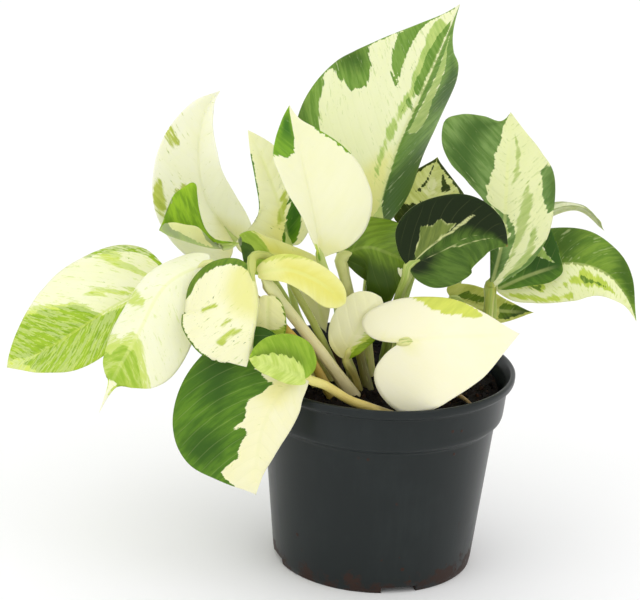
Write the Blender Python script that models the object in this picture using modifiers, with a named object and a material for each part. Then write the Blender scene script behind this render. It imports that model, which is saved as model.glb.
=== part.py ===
# A potted pothos: a round nursery pot full of soil, with variegated leaves on petioles that rise from it.
# The origin is the middle of the pot's base, +Z is up and -Y is the plant's front.
# Sizes are in millimetres and degrees until a mesh or a curve is made.

import math

import bmesh
import bpy
import numpy as np

MM = 0.001

RIM_RADIUS = 60.0
POT_HEIGHT = 92.0
POT_WALL = 1.4
BAND_RADIUS = 57.0
BAND_FOOT_RADIUS = 55.5
BAND_FOOT_Z = 71.0
STEP_RADIUS = 52.5
BASE_RADIUS = 45.5
FLOOR_Z = 4.0
RIM_DEPTH = 4.0
PAD_RADIUS = 12.0
FOOT_WIDTH = 3.0
NOTCH_COUNT = 4
NOTCH_WIDTH = 16.0
NOTCH_HEIGHT = 2.6
NOTCH_TURN = -73.0
DRAIN_COUNT = 6
DRAIN_RADIUS = 3.5
DRAIN_RING = 29.0
POT_STEPS = 40

SOIL_Z = 84.0
SOIL_EDGE_DROP = 2.0
SOIL_STEPS = 32
GAP = 0.3

BLADE_THICKNESS = 0.8
BLADE_ALONG = 10
BLADE_ACROSS = 3
SPINE_STEPS = 200
BLADE_ROUGHNESS = 0.38
PETIOLE_STEPS = 6
PETIOLE_SIDES = 2
STALK_ROUGHNESS = 0.45

HEART = [(0, 0), (-0.075, 0.22), (-0.085, 0.5), (0, 0.8), (0.17, 0.98), (0.34, 0.985), (0.52, 0.84),
         (0.7, 0.56), (0.85, 0.27), (0.94, 0.09), (1, 0)]


def clear_scene():
    for obj in list(bpy.data.objects):
        bpy.data.objects.remove(obj, do_unlink=True)


def new_collection(name):
    collection = bpy.data.collections.new(name)
    bpy.context.scene.collection.children.link(collection)
    return collection


def principled(name, colour, roughness):
    material = bpy.data.materials.new(name)
    material.use_nodes = True
    shader = material.node_tree.nodes["Principled BSDF"]
    shader.inputs["Base Color"].default_value = (*colour, 1.0)
    shader.inputs["Roughness"].default_value = roughness
    shader.inputs["Metallic"].default_value = 0.0
    return material


def add_object(name, data, collection, material=None):
    obj = bpy.data.objects.new(name, data)
    collection.objects.link(obj)
    if material:
        data.materials.append(material)
    return obj


def mesh_object(name, bm, collection, material=None):
    mesh = bpy.data.meshes.new(name)
    bm.to_mesh(mesh)
    bm.free()
    mesh.shade_smooth()
    return add_object(name, mesh, collection, material)


# Curves in space

def unit(vectors):
    return vectors / np.linalg.norm(vectors, axis=-1, keepdims=True)


def smooth_curve(points, samples):
    """Points along a smooth curve through the given ones."""
    points = np.asarray(points, float)
    knots = np.concatenate([[0], np.cumsum(np.sqrt(np.linalg.norm(np.diff(points, axis=0), axis=1)))])
    step = np.diff(knots)[:, None]
    slope = np.diff(points, axis=0) / step
    tangent = np.empty_like(points)
    tangent[1:-1] = (slope[:-1] * step[1:] + slope[1:] * step[:-1]) / (step[:-1] + step[1:])
    tangent[0] = 1.5 * slope[0] - 0.5 * tangent[1]
    tangent[-1] = 1.5 * slope[-1] - 0.5 * tangent[-2]
    at = np.linspace(0, knots[-1], samples)
    span = np.clip(np.searchsorted(knots, at, side="right") - 1, 0, len(step) - 1)
    wide = step[span]
    u = (at - knots[span])[:, None] / wide
    return (
        (2 * u**3 - 3 * u**2 + 1) * points[span]
        + (u**3 - 2 * u**2 + u) * wide * tangent[span]
        + (3 * u**2 - 2 * u**3) * points[span + 1]
        + (u**3 - u**2) * wide * tangent[span + 1]
    )


def even_spacing(curve, samples):
    """The same curve at equal steps of its length, and the length."""
    run = np.concatenate([[0], np.cumsum(np.linalg.norm(np.diff(curve, axis=0), axis=1))])
    at = np.linspace(0, run[-1], samples)
    return np.stack([np.interp(at, run, axis) for axis in curve.T], axis=-1), run[-1]


# Leaves

def blade_grid(midrib, face, width, fold, curl, outline, along, across):
    """Rows of points from the leaf's base to its tip, each from the left margin to the right one.

    The midrib is a smooth curve. Each half leaves it at the fold angle towards the upper side, and bends
    by the curl angle on its way to the margin. The outline gives the margin as (share of length, share of
    half width).
    """
    spine, length = even_spacing(smooth_curve(midrib, SPINE_STEPS), SPINE_STEPS)
    forward = unit(np.gradient(spine, axis=0))
    face = np.asarray(face, float)
    upper = unit(face - (forward @ face)[:, None] * forward)
    right = np.cross(forward, upper)
    place = np.linspace(0, length, SPINE_STEPS)
    share = np.linspace(0, 1, along + 1)
    grid = np.zeros((along + 1, 2 * across + 1, 3))
    for side in (0, 1):
        sign = 2 * side - 1
        margin = smooth_curve(outline[side], 2 * SPINE_STEPS) * [length, width[side]]
        margin = even_spacing(margin, along + 1)[0]
        for step in range(across + 1):
            reach = step / across
            x = share * length + (margin[:, 0] - share * length) * reach**1.25
            y = margin[:, 1] * reach
            t = np.clip(x / length, 0, 1)
            start = np.radians(np.interp(t, (0, 1), np.broadcast_to(fold[side], 2)))
            bend = np.radians(curl[side]) if curl[side] else 1e-5
            angle = start + bend * y / width[side]
            out = width[side] / bend * (np.sin(angle) - np.sin(start))
            lift = -width[side] / bend * (np.cos(angle) - np.cos(start))
            for row in range(along + 1):
                base = [np.interp(x[row], place, axis) for axis in spine.T]
                across_way = unit(np.array([np.interp(x[row], place, axis) for axis in right.T]))
                up_way = unit(np.array([np.interp(x[row], place, axis) for axis in upper.T]))
                point = base + across_way * sign * out[row] + up_way * lift[row]
                point += forward[0] * min(x[row], 0)
                grid[row, across + sign * step] = point
    return grid


def leaf(name, midrib, face, width, fold=(0, 0), curl=(0, 0), left=HEART, right=HEART, *, colour):
    grid = blade_grid(midrib, face, width, fold, curl, (left, right), BLADE_ALONG, BLADE_ACROSS)
    bm = bmesh.new()
    bmesh.ops.create_grid(bm, x_segments=2 * BLADE_ACROSS, y_segments=BLADE_ALONG, size=1.0)
    for vert in bm.verts:
        column = round((vert.co.x + 1) * BLADE_ACROSS)
        row = round((vert.co.y + 1) / 2 * BLADE_ALONG)
        vert.co = grid[row, column] * MM
    bmesh.ops.remove_doubles(bm, verts=bm.verts, dist=0.01 * MM)
    obj = mesh_object(name, bm, plant, principled(f"{name}_skin", colour, BLADE_ROUGHNESS))
    thick = obj.modifiers.new("thickness", "SOLIDIFY")
    thick.thickness = BLADE_THICKNESS * MM
    thick.offset = 0.0
    return obj


def petiole(name, route, radius, colour):
    """A round stalk along a smooth route, from its first radius to its last."""
    path = even_spacing(smooth_curve(route, SPINE_STEPS), PETIOLE_STEPS + 1)[0]
    curve = bpy.data.curves.new(name, "CURVE")
    curve.dimensions = "3D"
    curve.bevel_depth = MM
    curve.bevel_resolution = PETIOLE_SIDES
    curve.use_fill_caps = True
    spline = curve.splines.new("POLY")
    spline.points.add(PETIOLE_STEPS)
    for index, point in enumerate(path):
        spline.points[index].co = (*(point * MM), 1.0)
        spline.points[index].radius = np.interp(index, (0, PETIOLE_STEPS), radius)
    return add_object(name, curve, plant, principled(f"{name}_skin", colour, STALK_ROUGHNESS))


# Pot and soil

def turned(name, profile, steps, material):
    """A solid of revolution about Z. The profile of (radius, z) runs from the axis out and back to it."""
    bm = bmesh.new()
    verts = [bm.verts.new((radius * MM, 0, z * MM)) for radius, z in profile]
    for first, second in zip(verts, verts[1:]):
        bm.edges.new((first, second))
    obj = mesh_object(name, bm, plant, material)
    screw = obj.modifiers.new("turn", "SCREW")
    screw.angle = 2 * math.pi
    screw.steps = steps
    screw.render_steps = steps
    screw.use_merge_vertices = True
    screw.merge_threshold = 0.00001
    return obj


def inner_radius(z):
    """The pot's inside, up its tapered body, its step and its band."""
    heights = (FLOOR_Z + POT_WALL, BAND_FOOT_Z - 1, BAND_FOOT_Z, POT_HEIGHT - RIM_DEPTH)
    radii = (BASE_RADIUS, STEP_RADIUS, BAND_FOOT_RADIUS, BAND_RADIUS)
    return np.interp(z, heights, radii) - POT_WALL


def cut(obj, cutter, name):
    cutter.display_type = "WIRE"
    cutter.hide_render = True
    boolean = obj.modifiers.new(name, "BOOLEAN")
    boolean.operation = "DIFFERENCE"
    boolean.solver = "EXACT"
    boolean.object = cutter


def notch_cutter(number):
    """A box across the foot ring, which lets water run out from under the pot."""
    angle = math.radians(NOTCH_TURN + number * 360 / NOTCH_COUNT)
    bm = bmesh.new()
    bmesh.ops.create_cube(bm, size=1.0)
    obj = mesh_object(f"notch_{number + 1}", bm, cutters)
    obj.scale = (4 * FOOT_WIDTH * MM, NOTCH_WIDTH * MM, 2 * NOTCH_HEIGHT * MM)
    obj.location = (BASE_RADIUS * math.cos(angle) * MM, BASE_RADIUS * math.sin(angle) * MM, 0)
    obj.rotation_euler.z = angle
    return obj


def drain_cutter(number):
    angle = math.radians(NOTCH_TURN + (number + 0.5) * 360 / DRAIN_COUNT)
    bm = bmesh.new()
    bmesh.ops.create_cone(bm, cap_ends=True, segments=16, radius1=DRAIN_RADIUS * MM,
                          radius2=DRAIN_RADIUS * MM, depth=4 * FLOOR_Z * MM)
    obj = mesh_object(f"drain_{number + 1}", bm, cutters)
    obj.location = (DRAIN_RING * math.cos(angle) * MM, DRAIN_RING * math.sin(angle) * MM, FLOOR_Z * MM)
    return obj


def make_pot():
    floor_top = FLOOR_Z + POT_WALL
    profile = [
        (0, floor_top),
        (inner_radius(floor_top), floor_top),
        (inner_radius(BAND_FOOT_Z - 1), BAND_FOOT_Z - 1),
        (inner_radius(BAND_FOOT_Z), BAND_FOOT_Z),
        (inner_radius(POT_HEIGHT - RIM_DEPTH), POT_HEIGHT - RIM_DEPTH),
        (RIM_RADIUS - 2.4, POT_HEIGHT - 0.8),
        (RIM_RADIUS - 1.8, POT_HEIGHT),
        (RIM_RADIUS - 0.7, POT_HEIGHT),
        (RIM_RADIUS, POT_HEIGHT - 0.7),
        (RIM_RADIUS - 0.2, POT_HEIGHT - RIM_DEPTH + 0.6),
        (BAND_RADIUS, POT_HEIGHT - RIM_DEPTH - 1),
        (BAND_FOOT_RADIUS, BAND_FOOT_Z + 0.4),
        (BAND_FOOT_RADIUS - 0.6, BAND_FOOT_Z - 0.4),
        (STEP_RADIUS, BAND_FOOT_Z - 1.4),
        (BASE_RADIUS, FLOOR_Z),
        (BASE_RADIUS - 1, 0),
        (BASE_RADIUS - FOOT_WIDTH, 0),
        (BASE_RADIUS - FOOT_WIDTH - 0.5, FLOOR_Z),
        (PAD_RADIUS + 1, FLOOR_Z),
        (PAD_RADIUS, 0),
        (0, 0),
    ]
    pot = turned("pot", profile, POT_STEPS, principled("pot_plastic", (0.035, 0.045, 0.05), 0.45))
    for number in range(NOTCH_COUNT):
        cut(pot, notch_cutter(number), f"notch {number + 1}")
    for number in range(DRAIN_COUNT):
        cut(pot, drain_cutter(number), f"drain {number + 1}")


def make_soil():
    foot = FLOOR_Z + POT_WALL + GAP
    edge = SOIL_Z - SOIL_EDGE_DROP
    profile = [
        (0, SOIL_Z),
        (inner_radius(edge) - 8, SOIL_Z),
        (inner_radius(edge) - 3, SOIL_Z - SOIL_EDGE_DROP / 3),
        (inner_radius(edge) - GAP, edge),
        (inner_radius(BAND_FOOT_Z) - GAP, BAND_FOOT_Z + 0.1),
        (inner_radius(BAND_FOOT_Z - 1) - GAP, BAND_FOOT_Z - 0.7),
        (inner_radius(foot) - GAP, foot),
        (0, foot),
    ]
    turned("soil", profile, SOIL_STEPS, principled("potting_soil", (0.03, 0.012, 0.01), 0.95))


clear_scene()
plant = new_collection("potted_pothos")
cutters = new_collection("cutters")
make_pot()
make_soil()

# Leaves, each named for its place seen from the front

leaf("far_left_leaf", midrib=[(-95, 4, 124), (-118, -4, 115), (-145, -12, 97), (-167, -14, 85)],
     colour=(0.5, 0.62, 0.16), face=(-0.3, -0.6, 0.75), width=(25, 30), fold=(18, 20), curl=(-12, -14),
     left=[(0, 0), (0.05, 0.5), (0.25, 0.9), (0.5, 1), (0.65, 0.95), (0.8, 0.63), (0.92, 0.25), (1, 0)],
     right=[(0, 0), (0.02, 0.3), (0.09, 0.7), (0.25, 0.95), (0.47, 1), (0.64, 0.89), (0.78, 0.69),
     (0.88, 0.47), (0.96, 0.2), (1, 0)])
leaf("hanging_left_leaf", midrib=[(-78, -27, 143), (-95, -33, 134), (-106, -41, 113), (-116, -46, 93),
     (-121, -48, 79)], colour=(0.78, 0.78, 0.48), face=(0.1, -0.9, 0.4), width=(23, 15), fold=(-5, -35),
     curl=(-12, -20), left=[(0, 0), (-0.03, 0.3), (0.1, 0.75), (0.3, 0.95), (0.5, 1), (0.64, 0.96),
     (0.74, 0.78), (0.8, 0.42), (0.84, 0.12), (1, 0)], right=[(0, 0), (-0.03, 0.3), (0.1, 0.75),
     (0.3, 0.95), (0.5, 1), (0.64, 0.96), (0.74, 0.78), (0.8, 0.42), (0.84, 0.12), (1, 0)])
leaf("upright_left_leaf", midrib=[(-70, 12, 144), (-83, 15, 161), (-87, 18, 183), (-84, 20, 200),
     (-78, 18, 209)], colour=(0.86, 0.85, 0.66), face=(0.1, -0.85, 0.4), width=(29, 15), fold=(30, 40),
     curl=(5, 5))
leaf("small_green_leaf", midrib=[(-65, -10, 148), (-77, -13, 147), (-90, -16, 150), (-100, -18, 154)],
     colour=(0.28, 0.5, 0.02), face=(0, -1, 0.3), width=(10, 25), fold=(125, 0), curl=(20, -10),
     left=[(0, 0), (0.25, 0.05), (0.36, 0.3), (0.5, 0.75), (0.65, 1), (0.85, 0.95), (1, 0.6), (1, 0)],
     right=[(0, 0), (0.12, 0.05), (0.32, 0.13), (0.5, 0.34), (0.63, 0.66), (0.74, 0.98), (0.82, 1),
     (0.92, 0.86), (1.03, 0.6), (1.08, 0.32), (1.04, 0.08), (1, 0)])
leaf("round_front_leaf", midrib=[(-58, -42, 147), (-54, -50, 134), (-55, -57, 122), (-57, -61, 109)],
     colour=(0.78, 0.78, 0.36), face=(-0.2, -0.9, 0.35), width=(7, 36), fold=(-100, 0), curl=(-10, -25),
     left=[(0, 0), (-0.05, 0.3), (0, 0.7), (0.25, 1), (0.6, 0.8), (0.9, 0.3), (1, 0)], right=[(0, 0),
     (-0.13, 0.12), (-0.19, 0.45), (-0.06, 0.84), (0.22, 1), (0.52, 1.02), (0.78, 0.93), (0.95, 0.72),
     (1.03, 0.38), (1, 0)])
leaf("curled_leaf", midrib=[(-44, -2, 146), (-49, -2, 164), (-57, -2, 184), (-64, -2, 197)],
     colour=(0.74, 0.78, 0.42), face=(-0.1, -0.98, 0.2), width=(23, 14), curl=(25, 0), left=[(0, 0),
     (-0.02, 0.5), (0.02, 0.93), (0.1, 1), (0.22, 0.62), (0.35, 0.4), (0.6, 0.28), (0.8, 0.18), (1, 0)],
     right=[(0, 0), (0, 0.4), (0.2, 0.9), (0.5, 1), (0.8, 0.5), (1, 0)])
leaf("cream_heart_leaf", midrib=[(-29, -20, 146), (-33, -20, 165), (-39, -16, 187), (-46, -10, 211)],
     colour=(0.84, 0.83, 0.56), face=(0.25, -0.92, 0.3), width=(25, 28), fold=((62, 22), 2), curl=(5, -12),
     left=[(0, 0), (0, 0.12), (0.1, 0.27), (0.25, 0.42), (0.4, 0.54), (0.55, 0.66), (0.68, 0.7),
     (0.8, 0.54), (0.91, 0.26), (1, 0)], right=[(0, 0), (0.01, 0.15), (0.04, 0.5), (0.14, 0.82), (0.33, 1),
     (0.5, 0.93), (0.66, 0.72), (0.82, 0.33), (0.91, 0.1), (1, 0)])
leaf("top_leaf", midrib=[(-6, 14, 155), (-2, 16, 175), (3, 17, 193), (11, 18, 214), (19, 19, 236),
     (25, 20, 253)], colour=(0.62, 0.72, 0.34), face=(-0.2, -0.92, 0.35), width=(51, 27), fold=(-4, -70),
     curl=(-8, -10), left=[(0, 0), (-0.07, 0.2), (-0.07, 0.5), (0.02, 0.8), (0.17, 0.95), (0.34, 0.99),
     (0.52, 0.86), (0.7, 0.57), (0.85, 0.27), (0.94, 0.09), (1, 0)], right=[(0, 0), (-0.02, 0.3),
     (0.05, 0.65), (0.2, 0.95), (0.4, 1), (0.6, 0.95), (0.72, 0.75), (0.8, 0.35), (0.88, 0.12), (1, 0)])
leaf("dark_green_leaf", midrib=[(9, -22, 145), (22, -18, 153), (34, -17, 159), (44, -20, 160),
     (51, -26, 158)], colour=(0.03, 0.09, 0.02), face=(0, -0.95, 0.35), width=(22, 18), fold=(5, 5),
     curl=(20, 25), left=[(0, 0), (0, 0.4), (0.1, 0.8), (0.3, 1), (0.55, 0.92), (0.78, 0.55), (0.92, 0.18),
     (1, 0)], right=[(0, 0), (0, 0.4), (0.1, 0.8), (0.3, 1), (0.55, 0.92), (0.78, 0.55), (0.92, 0.18),
     (1, 0)])
leaf("saddle_leaf", midrib=[(-21, -10, 144), (-10, -12, 150), (3, -13, 147), (21, -12, 138)],
     colour=(0.18, 0.32, 0.03), face=(0.1, -0.7, 0.7), width=(26, 24), fold=(-22, -35), curl=(-15, -25),
     left=[(0, 0), (-0.05, 0.4), (0.1, 0.85), (0.35, 1), (0.55, 0.9), (0.68, 0.5), (0.85, 0.15), (1, 0)],
     right=[(0, 0), (0.03, 0.3), (0.1, 0.75), (0.22, 1), (0.5, 1.15), (0.72, 1.1), (0.76, 0.75),
     (0.7, 0.35), (0.87, 0.12), (1, 0)])
leaf("tall_right_leaf", midrib=[(46, 2, 129), (50, 0, 155), (50, 4, 179), (50, 12, 208)],
     colour=(0.36, 0.5, 0.2), face=(0.05, -0.95, 0.3), width=(30, 24), fold=(0, -10), curl=(15, -20),
     left=[(0, 0), (0.15, 0.1), (0.35, 0.22), (0.5, 0.3), (0.62, 0.6), (0.72, 0.88), (0.82, 1),
     (0.92, 0.98), (0.97, 0.75), (0.97, 0.4), (0.95, 0.12), (1, 0)], right=[(0, 0), (0.1, 0.35), (0.2, 0.7),
     (0.35, 0.9), (0.55, 1), (0.68, 0.95), (0.8, 0.65), (0.9, 0.3), (1, 0)])
leaf("tall_right_lobe", midrib=[(50, 10, 127), (62, 12, 133), (78, 14, 139)], colour=(0.04, 0.16, 0.02),
     face=(0, -1, 0.2), width=(28, 6), curl=(-8, 0), left=[(0, 0), (0.1, 0.25), (0.3, 0.66), (0.55, 0.97),
     (0.78, 0.98), (0.98, 0.6), (1.03, 0.25), (1, 0)], right=[(0, 0), (0.1, 0.3), (0.4, 0.7), (0.72, 1),
     (0.92, 0.75), (1, 0)])
leaf("far_right_leaf", midrib=[(48, 16, 127), (64, 18, 134), (84, 19, 138), (98, 20, 134), (108, 20, 124),
     (114, 20, 112)], colour=(0.3, 0.48, 0.1), face=(0.1, -0.85, 0.5), width=(18, 17), fold=(5, -5),
     curl=(-25, -20), left=[(0, 0), (0.02, 0.35), (0.12, 0.75), (0.35, 1), (0.5, 0.98), (0.64, 0.75),
     (0.78, 0.4), (0.9, 0.12), (1, 0)], right=[(0, 0), (0.02, 0.35), (0.12, 0.75), (0.35, 1), (0.5, 0.98),
     (0.64, 0.75), (0.78, 0.4), (0.9, 0.12), (1, 0)])
leaf("low_right_leaf", midrib=[(30, 24, 117), (48, 26, 112), (68, 28, 111)], colour=(0.42, 0.46, 0.16),
     face=(0, -0.9, 0.5), width=(9, 8))
leaf("edge_on_leaf", midrib=[(70, 50, 151), (86, 52, 155), (99, 50, 145)], colour=(0.55, 0.64, 0.32),
     face=(0.1, 0.2, 0.98), width=(12, 12), fold=(10, 10))
leaf("rim_leaf", midrib=[(-34, -52, 104), (-42, -56, 97), (-48, -58, 85), (-51, -59, 70), (-51, -59, 50)],
     colour=(0.16, 0.38, 0.04), face=(-0.05, -1, 0.25), width=(12, 40), fold=(-5, -5), curl=(-15, -10),
     left=[(0, 0), (-0.02, 0.3), (0.1, 0.75), (0.3, 1), (0.5, 0.9), (0.7, 0.6), (0.88, 0.2), (1, 0)],
     right=[(0, 0), (-0.04, 0.3), (0, 0.62), (0.18, 0.87), (0.42, 1), (0.65, 0.98), (0.82, 0.78),
     (0.92, 0.42), (0.97, 0.12), (1, 0)])
leaf("rim_leaf_lobe", midrib=[(-32, -58, 104), (-44, -62, 110), (-56, -64, 114)], colour=(0.24, 0.48, 0.05),
     face=(0, -0.9, 0.5), width=(5, 15), curl=(0, 15),
     left=[(0, 0), (0, 0.5), (0.3, 1), (0.7, 0.9), (1, 0)], right=[(0, 0), (-0.08, 0.3), (-0.02, 0.72),
     (0.2, 1), (0.5, 1.02), (0.8, 0.75), (0.96, 0.35), (1, 0)])
leaf("front_heart_leaf", midrib=[(8, -38, 116), (24, -43, 121), (41, -44, 123), (58, -41, 124)],
     colour=(0.88, 0.86, 0.62), face=(-0.02, -0.9, 0.45), width=(20, 31), fold=(-8, 0), curl=(-15, -10),
     left=[(0, 0), (-0.12, 0.05), (-0.27, 0.2), (-0.36, 0.48), (-0.34, 0.76), (-0.16, 0.98), (0.1, 1.02),
     (0.34, 0.95), (0.52, 0.8), (0.7, 0.55), (0.87, 0.22), (1, 0)], right=[(0, 0), (-0.16, 0.12),
     (-0.28, 0.35), (-0.24, 0.7), (-0.08, 0.97), (0.15, 1), (0.42, 0.86), (0.66, 0.6), (0.86, 0.24),
     (1, 0)])
leaf("beside_heart_leaf", midrib=[(-16, -22, 101), (-13.5, -22, 111), (-8, -21, 121), (-2, -20, 130)],
     colour=(0.78, 0.82, 0.5), face=(-0.1, -0.95, 0.3), width=(13, 9), curl=(-15, -10), left=[(0, 0),
     (0.02, 0.3), (0.15, 0.68), (0.35, 0.95), (0.6, 1), (0.82, 0.8), (0.95, 0.45), (1, 0)], right=[(0, 0),
     (0.05, 0.3), (0.2, 0.7), (0.45, 1), (0.7, 0.95), (0.9, 0.5), (1, 0)])
leaf("inner_leaf", midrib=[(-32, 13, 125), (-30, 13, 114), (-26, 12, 101)], colour=(0.72, 0.7, 0.62),
     face=(0, -1, 0.1), width=(6, 8))
leaf("yellow_leaf", midrib=[(-55, -38, 143.5), (-42, -42, 147), (-29, -42, 142.5), (-17, -39, 132.5)],
     colour=(0.76, 0.74, 0.28), face=(0, -0.9, 0.4), width=(7, 8), left=[(0, 0), (0, 0.4), (0.2, 0.9),
     (0.5, 1), (0.75, 0.9), (0.9, 0.6), (1, 0)], right=[(0, 0), (0.02, 0.35), (0.3, 0.7), (0.6, 0.9),
     (0.8, 0.95), (0.94, 0.6), (1, 0)])
leaf("yellow_upper_leaf", midrib=[(-29, -12, 139), (-42, -16, 144), (-54, -20, 147), (-63, -24, 147)],
     colour=(0.72, 0.72, 0.32), face=(0, -0.9, 0.4), width=(10, 10), curl=(10, 15), left=[(0, 0),
     (0.1, 0.4), (0.4, 0.8), (0.7, 1), (0.9, 0.95), (1.03, 0.5), (1, 0)], right=[(0, 0), (0.1, 0.4),
     (0.4, 0.55), (0.7, 0.7), (0.87, 1), (0.97, 0.92), (1.04, 0.45), (1, 0)])
leaf("young_leaf", midrib=[(-50, -39, 134), (-50, -40, 126), (-49, -40, 117), (-45, -40, 107)],
     colour=(0.72, 0.76, 0.4), face=(0.1, -1, 0.2), width=(8, 7), curl=(15, -10), left=[(0, 0),
     (0.02, 0.45), (0.2, 0.9), (0.45, 1), (0.7, 0.8), (0.9, 0.35), (1, 0)], right=[(0, 0), (0.02, 0.45),
     (0.2, 0.9), (0.45, 1), (0.7, 0.8), (0.9, 0.35), (1, 0)])
leaf("back_leaf", midrib=[(16, 44, 145), (17, 46, 155), (18, 48, 165), (20, 50, 176)],
     colour=(0.44, 0.52, 0.16), face=(0, -1, 0.3), width=(17, 19), curl=(10, 10))

# Petioles, from the soil to each blade

petiole("far_left_petiole", [(-30, -11, 86.2), (-40, -11, 103), (-55, -7, 120), (-75, -2, 127),
        (-92, 0, 126)],
        (2.2, 1.6), colour=(0.5, 0.56, 0.16))
petiole("hanging_left_petiole", [(-22, -28, 86.2), (-32, -32, 105), (-43, -36, 119),
        (-54, -36, 130), (-65, -32, 138), (-75, -27, 142.5)],
        (2.2, 1.6), colour=(0.7, 0.36, 0.05))
petiole("upright_left_petiole", [(-26, 4, 86.2), (-32, 5, 97), (-43, 8, 114), (-56, 10, 132),
        (-68, 12, 142)],
        (2.2, 1.5), colour=(0.5, 0.56, 0.16))
petiole("round_front_petiole", [(-18, -14, 86.2), (-26, -18, 106), (-38, -23, 129),
        (-49, -28, 147), (-57.5, -37, 150.5)],
        (2, 1.6), colour=(0.5, 0.56, 0.16))
petiole("curled_petiole", [(-24, -4, 86.2), (-30, -4, 98), (-39, -4, 115), (-43, -3, 130), (-44, -2, 143)],
        (2, 1.5), colour=(0.5, 0.56, 0.16))
petiole("cream_heart_petiole", [(-13, -1, 86.2), (-19, -5, 105), (-22, -11, 127), (-28, -18, 142)],
        (2.2, 1.6), colour=(0.5, 0.56, 0.16))
petiole("top_petiole", [(-6, 6, 86.2), (-8, 9, 105), (-8, 11, 130), (-6, 13, 152)],
        (2.8, 2), colour=(0.5, 0.56, 0.16))
petiole("dark_green_petiole", [(0, -2, 86.2), (2, -6, 105), (6, -16, 130), (9, -21, 142)],
        (2.4, 2), colour=(0.5, 0.56, 0.16))
petiole("saddle_petiole", [(-6, -12, 86.2), (-11, -10, 104), (-16, -10, 126), (-19.5, -10, 139)],
        (2, 2.6), colour=(0.5, 0.56, 0.16))
petiole("tall_right_petiole", [(28, 2, 86.6), (38, 0, 95), (45, -2, 112), (46, 0, 127)],
        (2.8, 2.2), colour=(0.62, 0.66, 0.2))
petiole("far_right_petiole", [(20, 12, 86.2), (37, 12, 97), (48, 10, 111), (48, 14, 124)],
        (2.2, 1.6), colour=(0.66, 0.7, 0.42))
petiole("low_right_petiole", [(10, 12, 86.2), (22, 20, 98), (28, 22, 106), (30, 24, 112)],
        (1.8, 1.4), colour=(0.5, 0.56, 0.16))
petiole("edge_on_petiole", [(13, 20, 86.2), (25, 26, 101), (30, 31, 113), (34, 37, 124),
        (51, 46, 140), (68, 50, 149)],
        (2, 1.4), colour=(0.5, 0.56, 0.16))
petiole("rim_petiole", [(-3, -43, 86.6), (-13, -46, 91), (-24, -48, 98), (-31, -50, 101)],
        (2.2, 2), colour=(0.72, 0.52, 0.12))
petiole("front_heart_petiole", [(22, -30, 86.2), (17, -29, 96), (10, -30, 108), (7, -35, 114)],
        (2.4, 1.8), colour=(0.5, 0.56, 0.16))
petiole("beside_heart_petiole", [(-10, -17, 86.2), (-12, -18, 92), (-15.5, -21, 99)],
        (2, 1.7), colour=(0.75, 0.74, 0.5))
petiole("yellow_petiole", [(-14, -21, 86.2), (-27, -26, 105), (-41, -31, 124), (-53, -36.5, 140.5)],
        (3, 2.4), colour=(0.68, 0.62, 0.42))
petiole("back_petiole", [(2, 14, 86.2), (8, 26, 112), (14, 36, 134), (15.5, 42, 143)],
        (2, 1.5), colour=(0.5, 0.56, 0.16))

# What else shows on the soil

petiole("old_stem", [(-20, 9, 85.2), (-21, 8, 96), (-23, 7, 107)], (2.4, 1.6), colour=(0.10, 0.025, 0.015))
petiole("surface_root", [(31, -20, 85.3), (35, -25, 88), (41, -31, 85.3)], (1, 0.7),
        colour=(0.52, 0.34, 0.14))
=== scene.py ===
import math

import bmesh
import bpy
import numpy as np
from mathutils import Matrix, Vector, noise


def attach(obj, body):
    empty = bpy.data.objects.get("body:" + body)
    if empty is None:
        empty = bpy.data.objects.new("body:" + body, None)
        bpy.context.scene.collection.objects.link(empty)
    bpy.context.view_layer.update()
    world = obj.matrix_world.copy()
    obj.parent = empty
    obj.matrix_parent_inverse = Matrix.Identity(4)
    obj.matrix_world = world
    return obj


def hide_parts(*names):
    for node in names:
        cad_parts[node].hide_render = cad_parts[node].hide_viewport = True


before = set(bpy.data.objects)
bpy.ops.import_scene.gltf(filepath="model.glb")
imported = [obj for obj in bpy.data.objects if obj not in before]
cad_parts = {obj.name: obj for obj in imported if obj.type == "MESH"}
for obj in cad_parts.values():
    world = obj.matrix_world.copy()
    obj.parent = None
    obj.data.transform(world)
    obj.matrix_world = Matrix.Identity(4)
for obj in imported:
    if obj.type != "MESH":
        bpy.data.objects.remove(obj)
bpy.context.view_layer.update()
mm = 0.001
scene = bpy.context.scene
print("the frame is loaded,", len(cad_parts), "nodes")


# Nodes written as sums

class Wire:  # a socket that can stand in a sum
    def __init__(self, board, socket):
        self.board = board
        self.socket = socket

    def other(self, name):  # another output of the same node
        return Wire(self.board, self.socket.node.outputs[name])


def teachSign(sign, operation):  # an arithmetic sign, with the wire on either side of it
    setattr(Wire, f"__{sign}__", lambda wire, value: wire.board.maths(operation, wire, value))
    setattr(Wire, f"__r{sign}__", lambda wire, value: wire.board.maths(operation, value, wire))


for sign, operation in dict(add="ADD", sub="SUBTRACT", mul="MULTIPLY", truediv="DIVIDE", pow="POWER").items():
    teachSign(sign, operation)


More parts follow.
